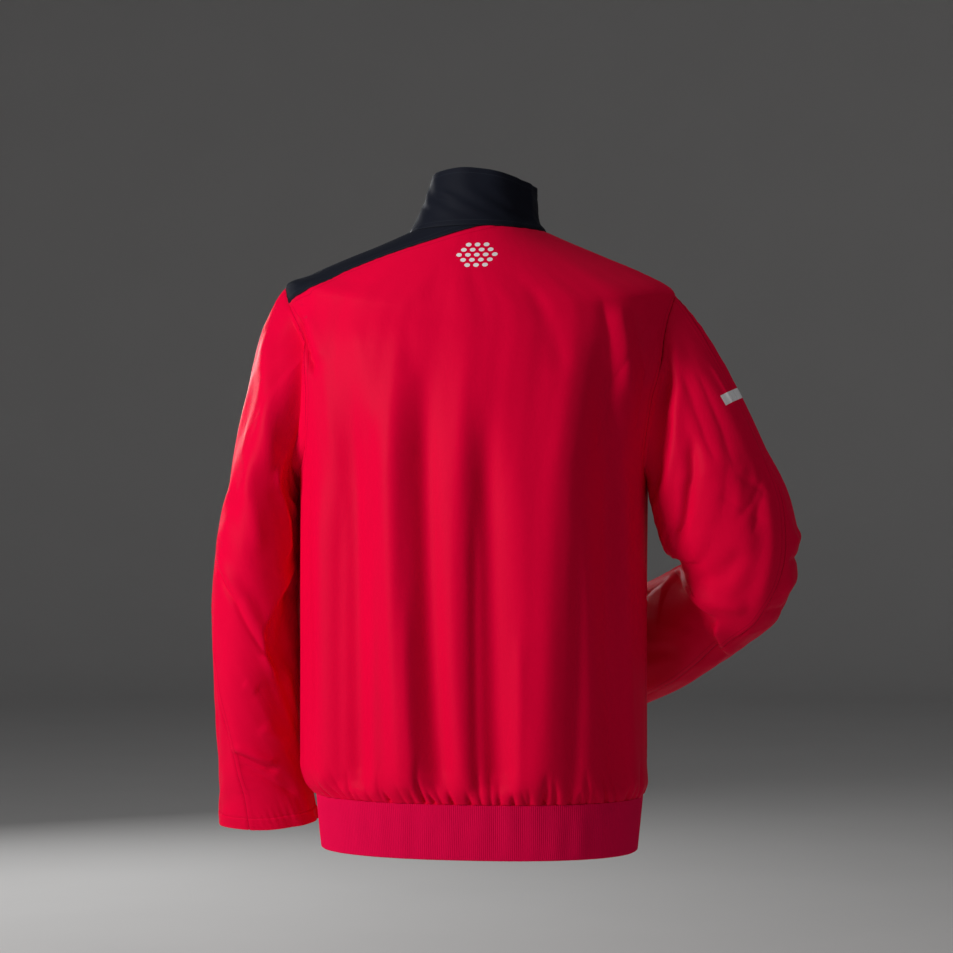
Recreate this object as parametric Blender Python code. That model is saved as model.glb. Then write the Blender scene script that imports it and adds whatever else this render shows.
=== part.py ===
# Hip-length windbreaker as it is worn, hollow and zipped shut: woven body and sleeves, stand collar,
# a yoke on the wearer's left shoulder and a ribbed waistband.
# Metres, +Z up. The wearer faces -Y and the wearer's left is +X.
# The origin is the middle of the neck opening, level with the collar seam at its sides.
import functools
import math

import bmesh
import bpy
import mathutils
import numpy as np

# ---------------------------------------------------------------- driving dimensions
CLOTH = 0.0012          # woven polyester wall
COLLAR_WALL = 0.0020    # two layers of cloth round a stiffener
BAND_WALL = 0.0024      # double ribbed knit
SEAM_GAP = 0.0003       # between two pieces that are sewn together

ARMPIT = 0.348          # levels are distances up the cloth from the waistband seam
YOKE_FOOT = 0.545
SHOULDER_TIP = 0.565
NECK = 0.700

BAND_HEIGHT = 0.060
BAND_TOP_Z = -0.6333
BAND_TAPER = 0.0060     # how much narrower the band is at its lower edge
BAND_STANDS_OUT = 0.0012    # how far the grooves of the ribs lie outside the waistband seam
RIB_COUNT = 180         # ribs round the band
RIB_DEPTH = 0.0005

GATHER_COUNT = 50       # puckers round the waistband seam
GATHER_DEPTH = 0.0017
GATHER_FADE = 0.030     # height over which the puckers die out

ZIP_HALF_GAP = 0.0050   # half of the space between the two front edges
TAPE_HALF_WIDTH = 0.0150
TAPE_WALL = 0.0010
CHAIN_HALF_WIDTH = 0.0030
CHAIN_WALL = 0.0016
ZIP_TOP = 0.060         # level on the collar where the tapes end
CHAIN_TOP = 0.052       # level on the collar where the closed chain ends, inside the slider
BOX_WIDTH = 0.0080      # the retainer box at the zip's foot
BOX_HEIGHT = 0.0095
BOX_WALL = 0.0024
BOX_CORNER = 0.0010

SLIDER_LEVEL = 0.047    # level on the collar of the slider's cross pin
SLIDER_WIDTH = 0.0084
SLIDER_HEIGHT = 0.0110
SLIDER_WALL = 0.0014
SLIDER_GAP = 0.0004         # from the chain's face to the slider's
LUG_SINK = 0.0004           # how deep the lugs are sunk in the plate
LUG_HALF_HEIGHT = 0.0020
LUG_GAP = 0.0034        # clear width between the two lugs that carry the cross pin
LUG_WALL = 0.0010
LUG_RADIUS = 0.0016
PIN_RADIUS = 0.0006
PIN_REACH = 0.0023      # from the slider's face to the pin's axis
EYE_RADIUS = 0.0018     # of the pull tab's eye round the pin
EYE_HOLE = 0.0009
EYE_WIDTH = 0.0028
TAB_WIDTH = 0.0060
TAB_WALL = 0.0014
TAB_TOP = 0.0036        # below the pin's axis
TAB_FOOT = 0.0240
TAB_SHOULDER = 0.0012   # height of the slope between the tab's top and its full width
# The slider's plate, in half widths and half heights.
SLIDER_OUTLINE = ((-0.72, -1.0), (0.72, -1.0), (1.0, -0.35), (1.0, 0.7), (0.7, 1.0), (-0.7, 1.0), (-1.0, 0.7),
                  (-1.0, -0.35))

# Body sections, one row for each ring from the waistband seam up to the neck.
RING_COLUMNS = ("level", "z_side", "z_back", "z_front", "centre_x", "half_width", "back", "front",
                "side_power", "depth_power", "lean")
RINGS = (
    (0.000, -0.633, -0.633, -0.633, 0.0060, 0.1835, 0.118, 0.125, 2.30, 2.30, 0.000),
    (0.015, -0.618, -0.618, -0.618, 0.0100, 0.1930, 0.124, 0.132, 2.30, 2.30, 0.000),
    (0.035, -0.598, -0.598, -0.598, 0.0130, 0.1965, 0.127, 0.137, 2.30, 2.30, 0.000),
    (0.185, -0.448, -0.448, -0.448, 0.0135, 0.1955, 0.126, 0.137, 2.30, 2.30, 0.000),
    (0.348, -0.285, -0.285, -0.285, 0.0125, 0.1960, 0.125, 0.138, 2.30, 2.30, 0.000),
    (0.433, -0.200, -0.200, -0.200, 0.0105, 0.2105, 0.123, 0.134, 2.35, 2.15, 0.000),
    (0.503, -0.130, -0.134, -0.136, 0.0080, 0.2215, 0.118, 0.121, 2.35, 1.85, 0.015),
    (0.565, -0.066, -0.094, -0.104, 0.0068, 0.2225, 0.106, 0.105, 2.20, 1.45, 0.030),
    (0.600, -0.0456, -0.068, -0.086, 0.0105, 0.1880, 0.098, 0.096, 2.10, 1.50, 0.006),
    (0.635, -0.0305, -0.043, -0.070, 0.0115, 0.1530, 0.089, 0.088, 2.00, 1.60, 0.003),
    (0.670, -0.0138, -0.019, -0.057, 0.0098, 0.1110, 0.078, 0.080, 2.00, 1.80, 0.000),
    (0.700, 0.000, 0.003, -0.045, 0.0075, 0.0780, 0.067, 0.073, 2.00, 2.00, 0.000),
)

# The stand collar, from its seam to its top edge.
COLLAR_RINGS = (
    (0.000, 0.0000, 0.0030, -0.0450, 0.0075, 0.0780, 0.0670, 0.0730, 2.00, 2.00, 0.000),
    (0.015, 0.0140, 0.0180, -0.0310, 0.0070, 0.0700, 0.0640, 0.0725, 2.05, 2.05, 0.030),
    (0.040, 0.0370, 0.0420, -0.0060, 0.0030, 0.0625, 0.0610, 0.0720, 2.10, 2.10, 0.070),
    (0.066, 0.0560, 0.0675, 0.0200, 0.0000, 0.0590, 0.0590, 0.0715, 2.15, 2.15, 0.100),
)

# How far round from the middle of the back each panel edge lies. Columns: level, degrees.
ARMHOLE_BACK_LEFT = (
    (0.348, 90.0), (0.372, 72.0), (0.400, 62.0), (0.433, 57.0), (0.468, 55.0),
    (0.503, 56.0), (0.530, 65.0), (0.545, 75.0), (0.555, 82.0), (0.565, 90.0),
)
ARMHOLE_BACK_RIGHT = (
    (0.348, 90.0), (0.372, 79.0), (0.400, 75.0), (0.433, 73.0), (0.468, 72.0),
    (0.503, 72.5), (0.530, 75.0), (0.553, 82.0), (0.565, 90.0),
)
ARMHOLE_FRONT = (
    (0.348, 90.0), (0.372, 106.0), (0.400, 116.0), (0.433, 122.0), (0.468, 124.0),
    (0.503, 123.0), (0.530, 118.0), (0.545, 112.0), (0.557, 102.0), (0.565, 90.0),
)
YOKE_BACK_SEAM = (
    (0.545, 75.0), (0.552, 68.0), (0.565, 57.0), (0.580, 53.0), (0.605, 52.0), (0.634, 47.0),
    (0.659, 38.0), (0.680, 21.0), (0.690, 8.0), (0.700, -10.0),
)
YOKE_FRONT_SEAM = (
    (0.545, 112.0), (0.565, 118.0), (0.600, 123.0), (0.635, 126.0), (0.670, 128.0), (0.700, 130.0),
)
SHOULDER_SEAM_RIGHT = (
    (0.565, 90.0), (0.600, 97.0), (0.650, 101.0), (0.700, 105.0),
)

# Long folds of the body; x is where a fold runs at its top, middle and foot.
# Columns: side, z_top, x_top, x_middle, z_foot, x_foot, half_width, height.
FOLDS = (
    ("back", -0.110, 0.0820, 0.0840, -0.630, 0.0665, 0.018, 0.0050),
    ("back", -0.110, 0.0480, 0.0440, -0.630, 0.0280, 0.015, -0.0048),
    ("back", -0.090, 0.0000, 0.0100, -0.620, 0.0040, 0.012, 0.0016),
    ("back", -0.170, -0.0180, -0.0270, -0.630, -0.0340, 0.018, -0.0060),
    ("back", -0.100, -0.1080, -0.0920, -0.630, -0.0760, 0.026, 0.0034),
    ("back", -0.090, -0.1460, -0.1560, -0.630, -0.1640, 0.017, -0.0056),
    ("back", -0.150, 0.1400, 0.1300, -0.630, 0.1260, 0.017, -0.0050),
    ("back", -0.080, 0.2160, 0.1840, -0.175, 0.1540, 0.009, -0.0035),
    ("front", -0.110, 0.0850, 0.0900, -0.630, 0.0800, 0.021, -0.0065),
    ("front", -0.170, 0.1340, 0.1380, -0.630, 0.1300, 0.016, -0.0040),
    ("front", -0.130, -0.0750, -0.0820, -0.630, -0.0880, 0.020, -0.0070),
    ("front", -0.200, -0.1300, -0.1330, -0.630, -0.1280, 0.015, -0.0045),
    ("front", -0.200, 0.0480, 0.0460, -0.620, 0.0440, 0.020, 0.0030),
    ("front", -0.180, -0.0400, -0.0420, -0.620, -0.0450, 0.018, 0.0025),
)

# Sleeves, one row for each section down the arm: its centre, the way its outer side faces, and how
# far the cloth lies from the centre on the outer side, on the inner side and to front and back.
SLEEVE_COLUMNS = ("x", "y", "z", "out_x", "out_y", "out_z", "outer", "inner", "deep")
SLEEVE_LEFT = (
    (0.2530, 0.004, -0.295, 1.0, 0.0, 0.2, 0.0400, 0.0405, 0.070),
    (0.2600, 0.006, -0.350, 1.0, 0.0, 0.1, 0.0465, 0.0480, 0.067),
    (0.2640, 0.002, -0.410, 1.0, 0.0, 0.0, 0.0485, 0.0510, 0.063),
    (0.2660, -0.007, -0.470, 1.0, 0.0, 0.0, 0.0490, 0.0515, 0.059),
    (0.2670, -0.018, -0.530, 1.0, 0.0, 0.0, 0.0490, 0.0505, 0.055),
    (0.2650, -0.030, -0.585, 1.0, 0.0, 0.0, 0.0515, 0.0490, 0.050),
    (0.2610, -0.040, -0.632, 1.0, 0.0, 0.0, 0.0565, 0.0520, 0.044),
    (0.2590, -0.048, -0.674, 1.0, 0.0, 0.0, 0.0610, 0.0560, 0.038),
)
SLEEVE_RIGHT = (
    (-0.2580, 0.004, -0.268, -0.90, 0.03, 0.43, 0.0630, 0.0770, 0.058),
    (-0.2800, 0.002, -0.320, -0.92, 0.12, 0.34, 0.0665, 0.0860, 0.054),
    (-0.2890, -0.006, -0.362, -0.92, 0.30, 0.12, 0.0640, 0.0765, 0.052),
    (-0.2840, -0.022, -0.396, -0.80, 0.48, -0.22, 0.0590, 0.0610, 0.052),
    (-0.2650, -0.044, -0.420, -0.64, 0.50, -0.52, 0.0520, 0.0555, 0.050),
    (-0.2360, -0.072, -0.439, -0.52, 0.36, -0.76, 0.0560, 0.0660, 0.045),
    (-0.1940, -0.114, -0.462, -0.44, 0.22, -0.87, 0.0600, 0.0660, 0.040),
    (-0.1480, -0.162, -0.484, -0.41, 0.14, -0.90, 0.0620, 0.0620, 0.038),
    (-0.1080, -0.204, -0.505, -0.41, 0.12, -0.90, 0.0580, 0.0560, 0.036),
)
# Where the over-arm and underarm seams lie, section by section, in degrees back from the outer side.
OVER_SEAM_LEFT = (0.0, 2.0, 8.0, 26.0, 46.0, 62.0, 70.0, 74.0)
OVER_SEAM_RIGHT = (16.0, 22.0, 26.0, 28.0, 28.0, 28.0, 28.0, 28.0, 28.0)

# The way the cloth leaves the armhole at its top, back, foot and front.
CAP_COLUMNS = ("degrees", "x", "y", "z", "pull_out", "pull_down")
CAP_LEFT = (
    (0.0, 0.76, 0.00, -0.65, 0.55, 0.95),
    (90.0, 0.70, 0.30, -0.65, 0.80, 0.80),
    (180.0, 0.35, 0.00, -0.94, 0.80, 0.80),
    (270.0, 0.70, -0.30, -0.65, 0.80, 0.80),
    (360.0, 0.76, 0.00, -0.65, 0.55, 0.95),
)
CAP_RIGHT = (
    (0.0, -0.70, 0.00, -0.71, 0.90, 0.90),
    (90.0, -0.75, 0.25, -0.60, 0.80, 0.80),
    (180.0, -0.45, 0.00, -0.90, 0.80, 0.80),
    (270.0, -0.75, -0.25, -0.60, 0.80, 0.80),
    (360.0, -0.70, 0.00, -0.71, 0.90, 0.90),
)

# Creases of the sleeves, with angles like the seams'.
# Columns: from_section, from_degrees, to_section, to_degrees, half_width in degrees, height.
CREASES_LEFT = (
    (-0.60, 92.0, 1.00, 128.0, 15.0, -0.0050),
    (1.00, 60.0, 3.60, 118.0, 13.0, -0.0040),
    (3.20, 118.0, 5.40, 66.0, 14.0, -0.0035),
    (4.80, 30.0, 6.60, 92.0, 14.0, 0.0030),
    (-0.40, 262.0, 2.20, 238.0, 16.0, -0.0045),
    (2.40, 300.0, 5.00, 250.0, 15.0, -0.0035),
)
CREASES_RIGHT = (
    (-0.70, 70.0, 1.60, 96.0, 14.0, -0.0050),
    (-0.50, 118.0, 2.20, 134.0, 13.0, -0.0045),
    (1.60, 20.0, 3.00, 60.0, 14.0, -0.0045),
    (2.60, 12.0, 3.80, 64.0, 12.0, 0.0040),
    (3.60, 150.0, 4.40, 84.0, 16.0, -0.0060),
    (4.60, 120.0, 7.00, 90.0, 15.0, -0.0035),
    (-0.40, 262.0, 2.40, 232.0, 16.0, -0.0045),
    (4.00, 250.0, 6.60, 276.0, 15.0, -0.0035),
)

# Rows of points up each panel.
GATHER_LEVELS = (0.000, 0.010, 0.024)
LOWER_LEVELS = (0.045, 0.085, 0.135, 0.190, 0.245, 0.295)
ARMHOLE_LEVELS = (0.348, 0.372, 0.400, 0.433, 0.468, 0.503, 0.527, 0.545)
TIP_LEVELS = (0.545, 0.553, 0.559, 0.565)
COLLAR_LEVELS = (0.000, 0.008, 0.018, 0.032, 0.048, 0.066)
SHOULDER_LEVELS = (0.565, 0.588, 0.615, 0.642, 0.665, 0.685, 0.700)

# Sections of points down each sleeve; -1 is the armhole and 0 the first row of the sleeve's table.
SECTIONS_LEFT = (-1.0, -0.85, -0.66, -0.45, -0.22, 0.0, 0.8, 1.6, 2.4, 3.2, 4.0, 4.8, 5.5, 6.2, 7.0)
SECTIONS_RIGHT = (-1.0, -0.85, -0.66, -0.45, -0.22, 0.0, 0.7, 1.3, 1.8, 2.3, 2.8, 3.3, 3.8, 4.3, 4.8,
                  5.4, 6.0, 7.0, 8.0)

BACK_STEPS = 28             # steps from edge to edge of each panel
FRONT_STEPS = 14
SLEEVE_STEPS = 12
COLLAR_STEPS = 44
BAND_LINING_STEPS = 72
GATHER_STEPS = 4            # steps in one pucker
QUARTER_GIRTH = 0.262       # cloth from the middle of the back or front to a side seam

CRIMSON = (0.72, 0.002, 0.040)
RIB_RED = (0.66, 0.004, 0.045)
NAVY = (0.010, 0.013, 0.022)
CHAIN_RED = (0.45, 0.002, 0.025)
GUNMETAL = (0.20, 0.21, 0.23)


# ---------------------------------------------------------------- small tools
def clear_scene():
    for item in list(bpy.data.objects):
        bpy.data.objects.remove(item, do_unlink=True)


def paint(name, colour, roughness, metallic=0.0):
    material = bpy.data.materials.get(name)
    if material is None:
        material = bpy.data.materials.new(name)
        material.use_nodes = True
        shader = material.node_tree.nodes["Principled BSDF"]
        shader.inputs["Base Color"].default_value = (*colour, 1.0)
        shader.inputs["Roughness"].default_value = roughness
        shader.inputs["Metallic"].default_value = metallic
        material.diffuse_color = (*colour, 1.0)
    return material


def smooth_step(value):
    share = np.clip(value, 0.0, 1.0)
    return share * share * (3.0 - 2.0 * share)


def unit(vectors):
    return vectors / np.linalg.norm(vectors, axis=-1, keepdims=True)


def lengths_along(points):
    return np.concatenate([[0.0], np.cumsum(np.linalg.norm(np.diff(points, axis=0), axis=1))])


def smooth_between(knots, values, at):
    # Cubic through the knots whose slopes are limited, so that it never overshoots a table's values.
    knots = np.asarray(knots, dtype=float)
    values = np.asarray(values, dtype=float)
    steps = np.diff(knots)
    slopes = np.diff(values) / steps
    tangents = np.empty_like(values)
    tangents[0] = slopes[0]
    tangents[-1] = slopes[-1]
    same_way = slopes[:-1] * slopes[1:] > 0.0
    total = slopes[:-1] + slopes[1:]
    tangents[1:-1] = np.where(same_way, 2.0 * slopes[:-1] * slopes[1:] / np.where(same_way, total, 1.0), 0.0)
    at = np.clip(at, knots[0], knots[-1])
    left = np.clip(np.searchsorted(knots, at, side="right") - 1, 0, len(steps) - 1)
    step = steps[left]
    t = (at - knots[left]) / step
    return (values[left] * (2 * t**3 - 3 * t**2 + 1) + values[left + 1] * (3 * t**2 - 2 * t**3)
            + step * tangents[left] * (t**3 - 2 * t**2 + t) + step * tangents[left + 1] * (t**3 - t**2))


def columns_at(names, rows, at):
    knots = [row[0] for row in rows]
    return {name: smooth_between(knots, [row[index] for row in rows], at)
            for index, name in enumerate(names) if index > 0}


def edge_degrees(rows, level):
    return smooth_between([row[0] for row in rows], [row[1] for row in rows], level)


# ---------------------------------------------------------------- the body's surface
def ring_point(rows, level, degrees):
    # Points of a ring: |x / half_width|^side_power + |y / depth|^depth_power = 1, tilted so that its
    # back and front lie at their own heights. Zero degrees is the middle of the back, 90 is +X.
    ring = columns_at(RING_COLUMNS, rows, level)
    turn = np.radians(degrees)
    across = np.sin(turn)
    along = np.cos(turn)
    x_share = np.sign(across) * np.abs(across) ** (2.0 / ring["side_power"])
    y_share = np.abs(along) ** (2.0 / ring["depth_power"])
    behind = along > 0.0
    depth = np.where(behind, ring["back"], ring["front"])
    z_end = np.where(behind, ring["z_back"], ring["z_front"])
    x = ring["centre_x"] + ring["half_width"] * x_share
    y = np.sign(along) * depth * y_share
    z = ring["z_side"] + (z_end - ring["z_side"]) * y_share**2 + ring["lean"] * ring["half_width"] * x_share
    away = np.stack([x_share / ring["half_width"], y / depth**2, np.zeros_like(x)], axis=-1)
    return np.stack([x, y, z], axis=-1), unit(away)


def fold_height(points):
    # Sum of the long folds: each is a bell across its line, fading in at its top and out at its foot.
    x, y, z = points[..., 0], points[..., 1], points[..., 2]
    height = np.zeros_like(x)
    for side, z_top, x_top, x_middle, z_foot, x_foot, half_width, rise in FOLDS:
        share = (z_top - z) / (z_top - z_foot)
        line = x_top * (1 - share) * (1 - 2 * share) + 4 * x_middle * share * (1 - share)
        line += x_foot * share * (2 * share - 1)
        across = np.exp(-(((x - line) / half_width) ** 2))
        along = smooth_step(share / 0.30) * smooth_step((1.04 - share) / 0.12)
        depth = y if side == "back" else -y
        height += rise * across * along * smooth_step((depth - 0.02) / 0.04)
    return height


def gather_height(level, degrees):
    # Puckers at the waistband seam, unevenly spaced, dying out upwards; none at the zip.
    turn = np.radians(degrees)
    uneven = turn + 0.020 * np.sin(7.0 * turn) + 0.012 * np.sin(17.0 * turn + 1.0)
    strength = 0.75 + 0.25 * np.sin(5.0 * turn + 0.7)
    fade = 1.0 - smooth_step(level / GATHER_FADE)
    zip_fade = smooth_step((180.0 - np.abs(degrees) - 4.0) / 4.0)
    return GATHER_DEPTH * strength * np.cos(GATHER_COUNT * uneven) * fade * zip_fade


def body_point(level, degrees):
    level, degrees = np.broadcast_arrays(np.asarray(level, dtype=float), np.asarray(degrees, dtype=float))
    points, away = ring_point(RINGS, level, degrees)
    height = fold_height(points) + gather_height(level, degrees)
    return points + away * height[..., None]


def collar_point(level, degrees):
    level, degrees = np.broadcast_arrays(np.asarray(level, dtype=float), np.asarray(degrees, dtype=float))
    return ring_point(COLLAR_RINGS, level, degrees)[0]


def outward(surface, level, degrees, low, high, level_step=0.0008, turn_step=0.4):
    # The surface's normal, from differences along its two parameters.
    up = surface(np.minimum(level + level_step, high), degrees)
    up = up - surface(np.maximum(level - level_step, low), degrees)
    round_ = surface(level, degrees + turn_step) - surface(level, degrees - turn_step)
    return unit(np.cross(up, round_))


def body_outward(level, degrees):
    return outward(body_point, level, degrees, 0.0, NECK)


def ring_lengths(level, turns):
    points, _ = ring_point(RINGS, np.full_like(turns, level), turns)
    return lengths_along(points)


def straight_columns(reach, count):
    # Distances of a row's columns from the middle to an edge: a full spacing near the middle, so that
    # columns run straight up the cloth, and a narrower one near an edge that lies closer.
    share = np.linspace(0.0, 1.0, count + 1)
    full = min(QUARTER_GIRTH, reach / 0.70)
    return full * share + (reach - full) * share**3


def spread_turns(level, start, end, count, crosses_back):
    # Angles of a row's points from one edge to the other, at straight_columns' distances from the
    # middle of the back or from the zip. Above the yoke's foot they spread evenly.
    fine = np.linspace(start, end, 241)
    lengths = ring_lengths(level, fine)
    total = lengths[-1]
    even = np.linspace(0.0, total, count + 1)
    blend = float(smooth_step((level - YOKE_FOOT) / 0.06))
    if blend == 1.0:
        return np.interp(even, lengths, fine)
    if crosses_back:
        split = float(np.interp(start, start - fine, lengths))
        left = split - straight_columns(split, count // 2)[::-1]
        right = split + straight_columns(total - split, count // 2)
        straight = np.concatenate([left, right[1:]])
    else:
        straight = total - straight_columns(total, count)[::-1]
    return np.interp(straight * (1.0 - blend) + even * blend, lengths, fine)


def zip_edge(rows, level, half_gap):
    # Angle on the wearer's left at which the cloth stops beside the zip.
    ring = columns_at(RING_COLUMNS, rows, np.asarray(level, dtype=float))
    share = (half_gap / ring["half_width"]) ** (ring["side_power"] / 2.0)
    return 180.0 - np.degrees(np.arcsin(share))


# ---------------------------------------------------------------- walls
def rungs(first, second):
    # For each face between two rows of points, whether the first row steps on. Rows of one length take
    # turns; others step so that the rungs between them stay short.
    if len(first) == len(second):
        return [False, True] * (len(first) - 1)
    i, j = 0, 0
    last_i, last_j = len(first) - 1, len(second) - 1
    steps = []
    while i < last_i or j < last_j:
        if i == last_i or j == last_j:
            step_first = j == last_j
        else:
            rung = np.linalg.norm(first[i + 1] - second[j])
            step_first = bool(rung <= np.linalg.norm(first[i] - second[j + 1]))
        steps.append(step_first)
        i += step_first
        j += not step_first
    return steps


def lace(bm, first, second, steps):
    i, j = 0, 0
    for step_first in steps:
        if step_first:
            bm.faces.new((first[i], first[i + 1], second[j]))
            i += 1
        else:
            bm.faces.new((first[i], second[j + 1], second[j]))
            j += 1


def finish(name, bm, material, smooth_angle=40.0):
    bmesh.ops.recalc_face_normals(bm, faces=bm.faces)
    mesh = bpy.data.meshes.new(name)
    bm.to_mesh(mesh)
    bm.free()
    mesh.materials.append(material)
    mesh.shade_smooth()
    mesh.set_sharp_from_angle(angle=math.radians(smooth_angle))
    piece = bpy.data.objects.new(name, mesh)
    bpy.context.collection.objects.link(piece)
    return piece


def wall(name, outer, inner, material):
    # A closed wall between outer and inner rows of points, with a rim along each of its four edges.
    # Both faces are split along the same rungs, so that a twisted wall stays clear of itself.
    bm = bmesh.new()
    outer_rows = [[bm.verts.new(point) for point in row] for row in outer]
    inner_rows = [[bm.verts.new(point) for point in row] for row in inner]
    for k in range(len(outer) - 1):
        steps = rungs(outer[k], outer[k + 1])
        lace(bm, outer_rows[k], outer_rows[k + 1], steps)
        if len(inner[k]) != len(outer[k]):
            steps = rungs(inner[k], inner[k + 1])
        lace(bm, inner_rows[k], inner_rows[k + 1], steps)
    for end in (0, -1):
        lace(bm, inner_rows[end], outer_rows[end], rungs(inner[end], outer[end]))
        side = [row[end] for row in outer]
        lace(bm, [row[end] for row in outer_rows], [row[end] for row in inner_rows], rungs(side, side))
    return finish(name, bm, material)


def trim(rows, end, keep):
    # Draws the first or last point of each chosen row back from its seam by the seam gap, measured
    # square to the seam, towards the next point of its row.
    step = 1 if end == 0 else -1
    edge = np.array([row[end] for row in rows])
    along = unit(np.gradient(edge, axis=0))
    for index, row in enumerate(rows):
        if not keep[index]:
            continue
        inward = row[end + step] - row[end]
        length = np.linalg.norm(inward)
        square = np.linalg.norm(np.cross(inward / length, along[index]))
        row[end] = row[end] + inward * min(SEAM_GAP / max(square, 0.15) / length, 0.45)


# ---------------------------------------------------------------- body panels
def panel_levels():
    return GATHER_LEVELS + LOWER_LEVELS + ARMHOLE_LEVELS + TIP_LEVELS[1:] + SHOULDER_LEVELS[1:]


def panel_rows(first_edge, last_edge, steps, gather_steps, crosses_back):
    # Rows of a body panel between two edges; the rows in the gathers are finer.
    outer, inner = [], []
    for level in panel_levels():
        count = gather_steps if level <= GATHER_LEVELS[-1] else steps
        turns = spread_turns(level, first_edge(level), last_edge(level), count, crosses_back)
        heights = np.full_like(turns, level)
        points = body_point(heights, turns)
        away = body_outward(heights, turns)
        if level == 0.0:
            away[:, 2] = 0.0
            away = unit(away)
        outer.append(points)
        inner.append(points - away * CLOTH)
    return outer, inner


def back_left_edge(level):
    if level <= ARMPIT:
        return 90.0
    if level <= YOKE_FOOT:
        return float(edge_degrees(ARMHOLE_BACK_LEFT, level))
    return float(edge_degrees(YOKE_BACK_SEAM, level))


def back_right_edge(level):
    if level <= ARMPIT:
        return -90.0
    if level <= SHOULDER_TIP:
        return -float(edge_degrees(ARMHOLE_BACK_RIGHT, level))
    return -float(edge_degrees(SHOULDER_SEAM_RIGHT, level))


def front_left_edge(level):
    if level <= ARMPIT:
        return 90.0
    if level <= YOKE_FOOT:
        return float(edge_degrees(ARMHOLE_FRONT, level))
    return float(edge_degrees(YOKE_FRONT_SEAM, level))


def front_right_edge(level):
    if level <= ARMPIT:
        return -90.0
    if level <= SHOULDER_TIP:
        return -float(edge_degrees(ARMHOLE_FRONT, level))
    return -float(edge_degrees(SHOULDER_SEAM_RIGHT, level))


def make_back(cloth):
    gather_steps = GATHER_COUNT // 2 * GATHER_STEPS
    outer, inner = panel_rows(back_left_edge, back_right_edge, BACK_STEPS, gather_steps, True)
    return wall("back", outer, inner, cloth)


def make_front(name, side, cloth):
    gather_steps = GATHER_COUNT // 4 * GATHER_STEPS
    edge = front_left_edge if side > 0 else front_right_edge

    def zip_line(level):
        return side * float(zip_edge(RINGS, level, ZIP_HALF_GAP))

    outer, inner = panel_rows(edge, zip_line, FRONT_STEPS, gather_steps, False)
    levels = np.array(panel_levels())
    sewn_to_back = levels <= ARMPIT
    if side < 0:
        sewn_to_back = sewn_to_back | (levels > SHOULDER_TIP)
    for rows in (outer, inner):
        trim(rows, 0, sewn_to_back)
    return wall(name, outer, inner, cloth)


def yoke_grid():
    # Levels and angles over the yoke, blended from its four edges: back seam, front seam, neck, armhole.
    seam_levels = np.array(TIP_LEVELS + SHOULDER_LEVELS[1:])[::-1]
    back_seam = np.stack([seam_levels, edge_degrees(YOKE_BACK_SEAM, seam_levels)], axis=-1)
    front_seam = np.stack([seam_levels, edge_degrees(YOKE_FRONT_SEAM, seam_levels)], axis=-1)
    tip = np.array(TIP_LEVELS)
    behind = np.stack([tip, edge_degrees(ARMHOLE_BACK_LEFT, tip)], axis=-1)
    ahead = np.stack([tip, edge_degrees(ARMHOLE_FRONT, tip)], axis=-1)[::-1]
    armhole = np.concatenate([behind, ahead[1:]])
    c = np.linspace(0.0, 1.0, len(armhole))
    neck_degrees = back_seam[0, 1] + (front_seam[0, 1] - back_seam[0, 1]) * c
    neck = np.stack([np.full_like(c, NECK), neck_degrees], axis=-1)
    k = ((NECK - seam_levels) / (NECK - YOKE_FOOT))[:, None, None]
    c = c[None, :, None]
    sides = (1 - c) * back_seam[:, None] + c * front_seam[:, None]
    ends = (1 - k) * neck[None] + k * armhole[None]
    corners = (1 - k) * ((1 - c) * neck[0] + c * neck[-1]) + k * ((1 - c) * armhole[0] + c * armhole[-1])
    return sides + ends - corners


def make_yoke(cloth):
    grid = yoke_grid()
    points = body_point(grid[..., 0], grid[..., 1])
    away = body_outward(grid[..., 0], grid[..., 1])
    outer = list(points)
    inner = list(points - away * CLOTH)
    for rows in (outer, inner):
        for end in (0, -1):
            trim(rows, end, [True] * len(rows))
    return wall("yoke_left", outer, inner, cloth)


# ---------------------------------------------------------------- collar and waistband
def make_collar(cloth):
    low, high = COLLAR_LEVELS[0], COLLAR_LEVELS[-1]
    outer, inner = [], []
    for level in COLLAR_LEVELS:
        end = float(zip_edge(COLLAR_RINGS, level, ZIP_HALF_GAP))
        turns = np.linspace(-end, end, COLLAR_STEPS + 1)
        heights = np.full_like(turns, level)
        points = collar_point(heights, turns)
        away = outward(collar_point, heights, turns, low, high)
        if level == low:
            points = points + np.array([0.0, 0.0, SEAM_GAP])
            away[:, 2] = 0.0
            away = unit(away)
        outer.append(points)
        inner.append(points - away * COLLAR_WALL)
    return wall("collar", outer, inner, cloth)


def band_ring(drop, degrees):
    # The waistband hangs from the body's lowest ring and tapers to its lower edge.
    base, away = ring_point(RINGS, np.zeros_like(degrees), degrees)
    points = base - away * (BAND_TAPER * drop / BAND_HEIGHT)[..., None]
    points[..., 2] = BAND_TOP_Z - drop
    return points, away


def make_band(knit):
    end = float(zip_edge(RINGS, 0.0, ZIP_HALF_GAP))
    ribbed = np.linspace(-end, end, 2 * RIB_COUNT + 1)
    plain = np.linspace(-end, end, BAND_LINING_STEPS + 1)
    raised = BAND_STANDS_OUT + RIB_DEPTH * (np.arange(len(ribbed)) % 2)
    outer, inner = [], []
    for drop in (BAND_HEIGHT, 0.0):
        points, away = band_ring(np.full_like(ribbed, drop), ribbed)
        outer.append(points + away * raised[:, None])
        points, away = band_ring(np.full_like(plain, drop), plain)
        inner.append(points - away * (BAND_WALL - BAND_STANDS_OUT))
    return wall("hem_band", outer, inner, knit)


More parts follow.
